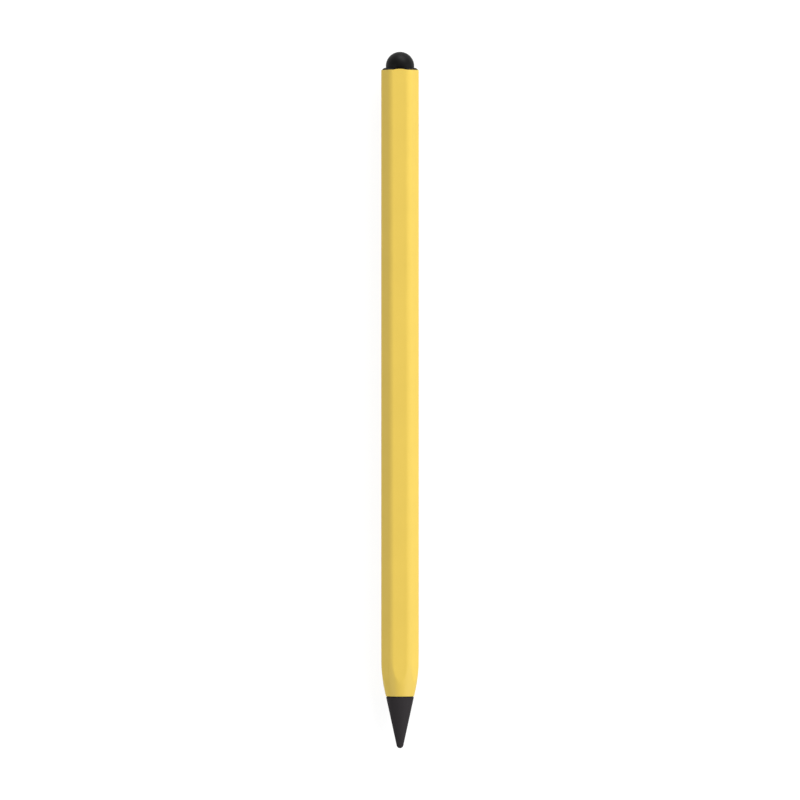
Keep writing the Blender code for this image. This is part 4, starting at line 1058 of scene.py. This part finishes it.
class PEN_OT_chips(bpy.types.Operator):
    """Model the chips and the inductor, each a moulded body with terminals on both sides"""

    bl_idname = "pen.chips"
    bl_label = "Chips"

    def execute(self, context):
        size = context.scene.pen_sizes
        for solid, count in TERMINALS.items():
            low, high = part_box(solid)
            self.mould_body(size, solid, low, high)
            self.fold_terminals(size, solid, low, high, count)
        return {"FINISHED"}

    def mould_body(self, size, solid, low, high):
        """Moulds the body, whose sides lean in, and presses the dimple into a chip's top"""
        side = Vector((size.terminal_reach, 0.0, 0.0))
        width = high.x - low.x - 2 * size.terminal_reach
        piece = block(f"{solid}_body", low + side, high - side)
        pick(piece, "FACE", lambda face: face.normal.z > FACING)
        lean = 2 * size.package_draft
        bpy.ops.transform.resize(
            value=(1 - lean / width, 1 - lean / (high.y - low.y), 1.0),
            center_override=(low + high) / 2,
        )
        round_edges(piece, low.y, high.y, size.package_edge)
        # The inductor, which has one terminal on each side, has no dimple
        if TERMINALS[solid] == 1:
            complete(piece, "sintered_ferrite", "pen_body", "ferrite", solid)
            return
        choose(piece)
        inset = size.dimple + size.package_draft + size.package_edge
        bpy.ops.mesh.primitive_uv_sphere_add(
            segments=SMALL_STEPS,
            ring_count=ARC_STEPS,
            radius=size.dimple,
            location=(inset - width / 2, low.y + inset, high.z + size.dimple - size.dimple_depth),
        )
        cut_away(piece, bpy.context.object)
        complete(piece, "moulded_epoxy", "pen_body", "chip_black", solid)

    def fold_terminals(self, size, solid, low, high, count):
        """Folds a terminal out of the body's side and down to the board, and repeats it"""
        thick = size.terminal_thickness
        side = high.x - size.terminal_reach
        knee = side + size.terminal_reach * TERMINAL_KNEE
        root = side - size.package_draft
        height = (low.z + high.z) / 2
        foot = low.z - SEAT / 2
        width = size.inductor_terminal if count == 1 else size.terminal_width
        first = (low.y + high.y - (count - 1) * size.terminal_pitch - width) / 2
        piece = block(
            f"{solid}_terminals",
            Vector((root, first, height - thick / 2)),
            Vector((knee, first + width, height + thick / 2)),
        )

        def faces_down(face):
            return face.normal.z < -FACING and face.calc_center_median().x > knee

        def faces_out(face):
            return face.normal.x > FACING and face.calc_center_median().z < foot + thick

        pick(piece, "FACE", lambda face: face.normal.x > FACING)
        pull((thick, 0.0, 0.0))
        pick(piece, "FACE", faces_down)
        pull((0.0, 0.0, foot + thick - height + thick / 2))
        pull((0.0, 0.0, -thick))
        pick(piece, "FACE", faces_out)
        pull((high.x - knee - thick, 0.0, 0.0))
        repeat(piece, count, (0.0, size.terminal_pitch, 0.0))
        piece.modifiers.new("other_side", "MIRROR")
        bpy.ops.object.modifier_apply(modifier="other_side")
        complete(piece, "tinned_copper", "pen_body", "nickel")


class PEN_OT_crystal(bpy.types.Operator):
    """Model the crystal's drawn can, with the flange that it is welded along"""

    bl_idname = "pen.crystal"
    bl_label = "Crystal"

    def execute(self, context):
        size = context.scene.pen_sizes
        low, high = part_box("clock_crystal")
        piece = block("clock_crystal_can", low, Vector((high.x, high.y, low.z + size.can_flange)))
        pick(piece, "FACE", lambda face: face.normal.z > FACING)
        bpy.ops.mesh.inset(thickness=size.can_step)
        pull((0.0, 0.0, high.z - low.z - size.can_flange))
        pick(
            piece,
            "EDGE",
            lambda edge: edge.calc_face_angle_signed(0.0) > SHARP_EDGE
            and max(vertex.co.z for vertex in edge.verts) > low.z + size.can_flange + WELD,
        )
        bpy.ops.mesh.bevel(offset=size.can_edge, segments=EDGE_STEPS, profile=0.5, affect="EDGES")
        complete(piece, "turned_steel", "pen_body", "steel", "clock_crystal")
        return {"FINISHED"}


class PEN_OT_screws(bpy.types.Operator):
    """Model a board screw with its thread and the cross in its head, and copy it"""

    bl_idname = "pen.screws"
    bl_label = "Board Screws"

    def execute(self, context):
        size = context.scene.pen_sizes
        low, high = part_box("board_screw_front")
        first = self.turn_screw(size, low, high)
        second = copy_along(first, "back_screw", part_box("board_screw_back")[0].y - low.y)
        for piece, solid in ((first, "board_screw_front"), (second, "board_screw_back")):
            complete(piece, "turned_steel", "pen_body", "steel", solid)
        return {"FINISHED"}

    def turn_screw(self, size, low, high):
        """Turns the screw along the pen, stands it up and cuts the cross"""
        seat = high.z - size.screw_head
        point = low.z + size.screw_pitch
        outline = [(low.z, 0.0), (low.z, size.screw - size.screw_pitch)]
        outline += thread_rows(point, seat, size.screw, size.screw_pitch)
        outline += [(seat, high.x), (high.z - size.screw_draft, high.x - size.screw_draft / 2)]
        outline += [(high.z, high.x - size.screw_draft), (high.z, 0.0)]
        piece = lathe("front_screw", outline, SMALL_STEPS)
        cut_thread(piece, low.z, seat, size.screw, size.screw_pitch, size.screw_thread)
        bpy.ops.mesh.select_all(action="SELECT")
        bpy.ops.mesh.normals_make_consistent(inside=False)
        choose(piece)
        middle = Vector((0.0, (low.y + high.y) / 2, high.z))
        piece.rotation_euler.x = math.pi / 2
        piece.location.y = middle.y + AXIS
        bpy.ops.object.transform_apply(location=True, rotation=True, scale=False)
        for arm in ((size.slot_width, size.slot_reach), (size.slot_reach, size.slot_width)):
            half = Vector((arm[0] / 2, arm[1] / 2, size.slot_depth))
            cut_block(piece, middle - half, middle + half)
        return piece


class PEN_OT_charging_coil(bpy.types.Operator):
    """Wind the charging coil, turn beside turn and layer on layer around its ferrite bar"""

    bl_idname = "pen.charging_coil"
    bl_label = "Charging Coil"

    def execute(self, context):
        low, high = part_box("charging_coil")
        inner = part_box("ferrite_bar")[1].x + SEAT
        pitch = (high.x - inner) / COIL_TURNS
        lift = (high.z - low.z) / COIL_LAYERS
        height = low.z + lift / 2
        front = low.y + high.x
        back = high.y - high.x
        bpy.ops.object.select_all(action="DESELECT")
        for turn in range(COIL_TURNS):
            bpy.ops.mesh.primitive_circle_add(
                vertices=TURN_WIRE_STEPS,
                radius=COIL_FILL * min(pitch, lift),
                location=(inner + (turn + 0.5) * pitch, front, height),
                rotation=(math.pi / 2, 0.0, 0.0),
            )
            if turn == 0:
                piece = begin("charging_coil_winding")
            for start, end in ((front, back), (back, front)):
                step = (0.0, end - start, 0.0)
                bpy.ops.mesh.extrude_edges_move(TRANSFORM_OT_translate={"value": step})
                bpy.ops.mesh.spin(
                    steps=TURN_END_STEPS,
                    angle=-math.pi,
                    center=(0.0, end, height),
                    axis=(0.0, 0.0, 1.0),
                )
        repeat(piece, COIL_LAYERS, (0.0, 0.0, lift))
        complete(piece, "enamelled_copper", "pen_body", "copper", "charging_coil")
        return {"FINISHED"}


class PEN_OT_nose_works(bpy.types.Operator):
    """Turn the bushing that guides the stem, its electrode, and the stem's collar and pad"""

    bl_idname = "pen.nose_works"
    bl_label = "Nose Works"

    def execute(self, context):
        size = context.scene.pen_sizes
        guide = size.stem + RUN
        low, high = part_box("nose_bushing")
        ring_low, ring_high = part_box("tilt_electrode")
        outer = ring_high.x
        groove = outer - size.electrode - SEAT
        shoulder = high.y - size.bushing_flange
        outline = [
            (low.y, guide),
            (low.y, outer),
            (ring_low.y - SEAT, outer),
            (ring_low.y - SEAT, groove),
            (ring_high.y + SEAT, groove),
            (ring_high.y + SEAT, outer),
            (shoulder, outer),
            (shoulder, high.x),
            (high.y, high.x),
            (high.y, guide),
            (low.y, guide),
        ]
        piece = turned("bushing", outline, size.turned_edge)
        complete(piece, "white_acetal", "pen_body", "white_plastic", "nose_bushing")
        outline = ring_outline(ring_low.y, ring_high.y, outer - size.electrode, outer)
        piece = turned("tilt_ring", outline, size.turned_edge)
        complete(piece, "enamelled_copper", "pen_body", "copper", "tilt_electrode")
        low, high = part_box("stop_collar")
        outline = ring_outline(low.y, high.y, size.stem + SEAT, high.x)
        piece = turned("collar", outline, size.turned_edge)
        complete(piece, "turned_brass", "stem", "brass", "stop_collar")
        low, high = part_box("sensor_pad")
        piece = turned("pad", disc_outline(low.y, high.y, high.x), size.turned_edge)
        complete(piece, "grey_silicone", "stem", "silicone", "sensor_pad")
        return {"FINISHED"}


class PEN_OT_cups(bpy.types.Operator):
    """Turn the cups that hold the force sensor and the power switch, and the sensor itself"""

    bl_idname = "pen.cups"
    bl_label = "Cups"

    def execute(self, context):
        size = context.scene.pen_sizes
        low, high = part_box("sensor_housing")
        outline = self.cup(size, low.y, high.y, size.housing_wall, high.x, size.stem + RUN)
        piece = turned("sensor_cup", outline, size.turned_edge)
        complete(piece, "grey_nylon", "pen_body", "grey_plastic", "sensor_housing")
        low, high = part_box("force_sensor")
        step = low.y + size.sensor_step
        outline = [(low.y, 0.0), (low.y, size.sensor_button), (step, size.sensor_button)]
        outline += [(step, high.x), (high.y, high.x), (high.y, 0.0)]
        piece = turned("sensor_disc", outline, SEAT)
        complete(piece, "turned_steel", "pen_body", "steel", "force_sensor")
        low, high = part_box("switch_holder")
        outline = self.cup(size, high.y, low.y, -size.holder_wall, high.x, size.plunger_pin + RUN)
        piece = turned("switch_cup", outline, size.turned_edge)
        self.cut_gate(piece, low.y - size.cup_skin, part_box("switch_board")[0].y)
        complete(piece, "grey_nylon", "pen_body", "grey_plastic", "switch_holder")
        return {"FINISHED"}

    def cup(self, size, closed, opened, wall, outer, hole):
        """Outline of a cup with a hole in its closed end"""
        inner = outer - size.cup_skin
        floor = closed + wall
        outline = [(closed, hole), (closed, outer), (opened, outer), (opened, inner)]
        return outline + [(floor, inner), (floor, hole), (closed, hole)]

    def cut_gate(self, piece, start, end):
        """Cuts the gate for the flat cable into the switch's cup"""
        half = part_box("link_flex")[1].x + 2 * SEAT
        cut_block(piece, Vector((-half, start, AXIS)), Vector((half, end, AXIS + APOTHEM)))


class PEN_OT_cell(bpy.types.Operator):
    """Turn the cell's can with its crimp, and the film that is shrunk over it"""

    bl_idname = "pen.cell"
    bl_label = "Cell"

    def execute(self, context):
        size = context.scene.pen_sizes
        low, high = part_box("cell")
        film_low, film_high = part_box("cell_sleeve")
        front = film_low.y
        outline = [(low.y, 0.0), (low.y, size.cell_button), (front, size.cell_button)]
        outline += [*self.side(size, front, high.y, high.x), (high.y, 0.0)]
        piece = turned("cell_can", outline, size.turned_edge)
        complete(piece, "drawn_aluminium", "pen_body", "aluminium", "cell")
        outer = self.side(size, front, film_high.y, film_high.x)
        inner = self.side(size, front, film_high.y, film_high.x - size.film)
        piece = turned("cell_film", [*outer, *inner[::-1], outer[0]], SEAT)
        complete(piece, "blue_shrink_film", "pen_body", "blue_film", "cell_sleeve")
        return {"FINISHED"}

    def side(self, size, front, back, radius):
        """Outline along the can's side, with the dip of its crimp"""
        outline = [(front, radius)]
        for i in range(ARC_STEPS + 1):
            dip = size.crimp_depth * (1.0 - math.cos(math.tau * i / ARC_STEPS)) / 2
            outline.append((front + size.crimp * (1.0 + i / ARC_STEPS), radius - dip))
        return outline + [(back, radius)]


class PEN_OT_plunger(bpy.types.Operator):
    """Turn the plunger that carries the soft tip, and the switch's actuator that it presses"""

    bl_idname = "pen.plunger"
    bl_label = "Plunger"

    def execute(self, context):
        size = context.scene.pen_sizes
        low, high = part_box("button_plunger")
        middle = TIP_HIGH.y - TIP_HIGH.x
        head = size.tip_hollow - RUN
        neck = size.tip_neck - RUN
        lip = size.tip_lip + SEAT
        flange_back = CAP_LOW.y - SEAT
        flange_front = flange_back - size.plunger_flange
        outline = [
            (low.y, 0.0),
            (low.y, size.plunger_pin),
            (flange_front, size.plunger_pin),
            (flange_front, high.x),
            (flange_back, high.x),
            (flange_back, neck),
            (middle + lip, neck),
        ]
        outline += arc((middle, 0.0), head, math.degrees(math.acos(lip / head)), 0.0, ARC_STEPS)
        piece = turned("plunger", outline, size.turned_edge)
        complete(piece, "black_abs", "button", "black_plastic", "button_plunger")
        low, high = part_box("switch_actuator")
        piece = turned("actuator_pin", disc_outline(low.y, high.y, high.x), size.turned_edge)
        complete(piece, "white_acetal", "actuator", "white_plastic", "switch_actuator")
        return {"FINISHED"}


class PEN_OT_blocks(bpy.types.Operator):
    """Model the magnets, the cell's tabs and the ferrites, all pressed with rounded edges"""

    bl_idname = "pen.blocks"
    bl_label = "Magnets, Tabs and Ferrites"

    def execute(self, context):
        size = context.scene.pen_sizes
        self.press_pair("magnet_front", "magnet_back", "bar", size.magnet_edge)
        self.press_pair("front_tab", "back_tab", "strip", size.tab_edge)
        for solid in ("ferrite_plate", "ferrite_bar"):
            piece = self.press(solid, "core", size.ferrite_edge)
            complete(piece, "sintered_ferrite", "pen_body", "ferrite", solid)
        return {"FINISHED"}

    def press(self, solid, label, edge):
        """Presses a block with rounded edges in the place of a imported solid"""
        low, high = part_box(solid)
        piece = block(f"{solid}_{label}", low, high)
        round_edges(piece, low.y, high.y, edge)
        return piece

    def press_pair(self, front, back, label, edge):
        """Presses one nickel-plated block and copies it"""
        first = self.press(front, label, edge)
        second = copy_along(first, f"{back}_{label}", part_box(back)[0].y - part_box(front)[0].y)
        for piece, solid in ((first, front), (second, back)):
            complete(piece, "nickel_plate", "pen_body", "nickel", solid)


class PEN_OT_leads(bpy.types.Operator):
    """Draw the cell's two insulated leads, with round bends, from the tabs to the board"""

    bl_idname = "pen.leads"
    bl_label = "Leads"

    def execute(self, context):
        size = context.scene.pen_sizes
        low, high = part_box("positive_lead")
        side = (low.x + high.x) / 2
        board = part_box("main_board")[1]
        solder = board.z + SEAT + size.lead
        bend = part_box("chassis")[1].y + size.lead_stub
        route = [
            (side, high.y, AXIS),
            (side, high.y + SEAT - size.lead_stub, AXIS),
            (side, bend, solder),
            (side, low.y, solder),
        ]
        piece = self.lay("positive_wire", route, size)
        complete(piece, "red_insulation", "pen_body", "red_film", "positive_lead")
        low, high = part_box("negative_lead")
        film_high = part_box("cell_sleeve")[1]
        reach = (film_high.x + size.bore) / 2
        away = reach * math.cos(LEAD_TURN)
        rise = AXIS + reach * math.sin(LEAD_TURN)
        behind = high.y - size.lead
        landing = board.x - 2 * size.lead
        route = [
            (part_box("back_tab")[1].x + SEAT, behind, AXIS),
            (away, behind, rise),
            (away, film_high.y - size.lead_stub, rise),
            (away, bend, rise),
            (landing, board.y - SEAT, solder),
            (landing, low.y, solder),
        ]
        piece = self.lay("negative_wire", route, size)
        complete(piece, "black_insulation", "pen_body", "black_film", "negative_lead")
        return {"FINISHED"}

    def lay(self, name, route, size):
        """Draws a lead along its route, rounds its bends and gives it its thickness"""
        piece = draw_line(name, route)
        pick(piece, "VERT", lambda vertex: len(vertex.link_edges) == 2)
        bpy.ops.mesh.bevel(offset=size.lead_bend, segments=EDGE_STEPS, affect="VERTICES")
        choose(piece)
        bpy.ops.object.convert(target="CURVE")
        piece = bpy.context.object
        piece.data.bevel_depth = size.lead
        piece.data.bevel_resolution = LEAD_STEPS
        piece.data.use_fill_caps = True
        bpy.ops.object.convert(target="MESH")
        return bpy.context.object


class PEN_OT_works(bpy.types.Operator):
    """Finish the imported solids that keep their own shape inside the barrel"""

    bl_idname = "pen.works"
    bl_label = "Works"

    def execute(self, context):
        works = {
            "grey_nylon": ("chassis",),
            "solder_mask": ("sensor_board", "main_board", "switch_board"),
            "moulded_epoxy": ("power_switch",),
            "polyimide_film": ("sensor_flex", "coil_tail", "link_flex"),
            "grey_foam": ("cell_foam", "rear_pad"),
        }
        for finish, solids in works.items():
            for solid in solids:
                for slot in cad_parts[solid].material_slots:
                    slot.link = "OBJECT"
                    slot.material = look(finish)
        return {"FINISHED"}


class PEN_OT_stage(bpy.types.Operator):
    """Set the floor, the light and the camera"""

    bl_idname = "pen.stage"
    bl_label = "Stage"

    def execute(self, context):
        stage = context.scene.pen_stage
        self.lay_floor(context, stage)
        world = bpy.data.worlds.new("sky")
        world.use_nodes = True
        sky = world.node_tree.nodes["Background"].inputs
        sky["Color"].default_value = (1.0, 1.0, 1.0, 1.0)
        sky["Strength"].default_value = stage.sky
        context.scene.world = world
        for name, setting in LAMPS.items():
            self.hang_lamp(name, getattr(stage, name), *setting)
        bpy.ops.object.camera_add(location=(0.0, 0.0, AXIS), rotation=(0.0, 0.0, 0.0))
        camera = context.object
        camera.name = "camera"
        camera.data.lens = stage.lens
        camera.location.z += stage.view * stage.lens / camera.data.sensor_width
        camera.data.clip_end = CAMERA_REACH
        context.scene.camera = camera
        context.scene.view_settings.view_transform = "Standard"
        return {"FINISHED"}

    def lay_floor(self, context, stage):
        """Lays the floor, which glows for the camera and in reflections and takes the shadow"""
        bpy.ops.object.select_all(action="DESELECT")
        bpy.ops.mesh.primitive_plane_add(size=FLOOR_WIDTH, location=(0.0, 0.0, -SEAT))
        floor = context.object
        floor.name = "floor"
        # Seamless paper: a dull white that only the shadow marks
        made, add, place = start_finish("white_paper")
        shade = list(context.scene.pen_colours.white_floor)
        fibre = add(
            "ShaderNodeTexNoise", {"Vector": place, "Scale": 1 / FIBRE_WIDTH, "Detail": 2.0}
        )
        shades = (fibre.outputs[0], *tinted(shade, *FIBRE_TINTS))
        paint = add("ShaderNodeMix", dict(zip(MIX_INPUTS, shades)), data_type="RGBA")
        path = add("ShaderNodeLightPath").outputs
        glow = path["Is Camera Ray"]
        for ray in ("Is Glossy Ray", "Is Transmission Ray"):
            terms = {0: glow, 1: path[ray]}
            glow = add("ShaderNodeMath", terms, operation="ADD", use_clamp=True).outputs[0]
        glow = add("ShaderNodeMath", {0: glow, 1: stage.floor}, operation="MULTIPLY").outputs[0]
        end_finish(
            add,
            {
                "Base Color": paint.outputs[MIX_RESULT],
                "Roughness": 0.9,
                "Specular IOR Level": 0.0,
                "Emission Color": (1.0, 1.0, 1.0, 1.0),
                "Emission Strength": glow,
            },
        )
        floor.data.materials.append(made)

    def hang_lamp(self, name, strength, lean, heading, roll, width, breadth):
        """Hangs a soft lamp that leans from overhead towards a heading"""
        lean, heading, roll = (math.radians(angle) for angle in (lean, heading, roll))
        across = math.sin(lean) * LAMP_DISTANCE
        rise = math.cos(lean) * LAMP_DISTANCE
        away = Vector((across * math.sin(heading), across * math.cos(heading), rise))
        bpy.ops.object.light_add(type="AREA", location=away)
        lamp = bpy.context.object
        lamp.name = name
        lamp.rotation_euler = away.to_track_quat("Z", "Y").to_euler()
        lamp.rotation_euler.rotate_axis("Z", roll)
        lamp.data.shape = "RECTANGLE"
        lamp.data.size = width
        lamp.data.size_y = breadth
        # With this power, a white that faces the lamp from the pen sends back the lamp's strength
        lamp.data.energy = strength * (math.pi * LAMP_DISTANCE) ** 2


OPERATORS = (
    PEN_OT_barrel,
    PEN_OT_nib,
    PEN_OT_stem,
    PEN_OT_seals,
    PEN_OT_end_cap,
    PEN_OT_soft_tip,
    PEN_OT_springs,
    PEN_OT_chips,
    PEN_OT_crystal,
    PEN_OT_screws,
    PEN_OT_charging_coil,
    PEN_OT_nose_works,
    PEN_OT_cups,
    PEN_OT_cell,
    PEN_OT_plunger,
    PEN_OT_blocks,
    PEN_OT_leads,
    PEN_OT_works,
    PEN_OT_stage,
)


class VIEW3D_PT_pen(bpy.types.Panel):
    """List of the pen's pieces, sizes, colours and lights"""

    bl_label = "Stylus Pen"
    bl_space_type = "VIEW_3D"
    bl_region_type = "UI"
    bl_category = "Pen"

    def draw(self, context):
        column = self.layout.column(align=True)
        for operator in OPERATORS:
            column.operator(operator.bl_idname)
        scene = context.scene
        for group in (scene.pen_sizes, scene.pen_colours, scene.pen_stage):
            box = self.layout.box()
            for key in group.__annotations__:
                box.prop(group, key)


CLASSES = (PenSizes, PenColours, PenStage, *OPERATORS, VIEW3D_PT_pen)


def register():
    for item in CLASSES:
        bpy.utils.register_class(item)
    bpy.types.Scene.pen_sizes = PointerProperty(type=PenSizes)
    bpy.types.Scene.pen_colours = PointerProperty(type=PenColours)
    bpy.types.Scene.pen_stage = PointerProperty(type=PenStage)


def unregister():
    del bpy.types.Scene.pen_stage
    del bpy.types.Scene.pen_colours
    del bpy.types.Scene.pen_sizes
    for item in reversed(CLASSES):
        bpy.utils.unregister_class(item)


def main():
    register()
    bpy.ops.pen.barrel()
    bpy.ops.pen.nib()
    bpy.ops.pen.stem()
    bpy.ops.pen.seals()
    bpy.ops.pen.end_cap()
    bpy.ops.pen.soft_tip()
    bpy.ops.pen.springs()
    bpy.ops.pen.chips()
    bpy.ops.pen.crystal()
    bpy.ops.pen.screws()
    bpy.ops.pen.charging_coil()
    bpy.ops.pen.nose_works()
    bpy.ops.pen.cups()
    bpy.ops.pen.cell()
    bpy.ops.pen.plunger()
    bpy.ops.pen.blocks()
    bpy.ops.pen.leads()
    bpy.ops.pen.works()
    bpy.ops.pen.stage()


if __name__ == "__main__":
    main()
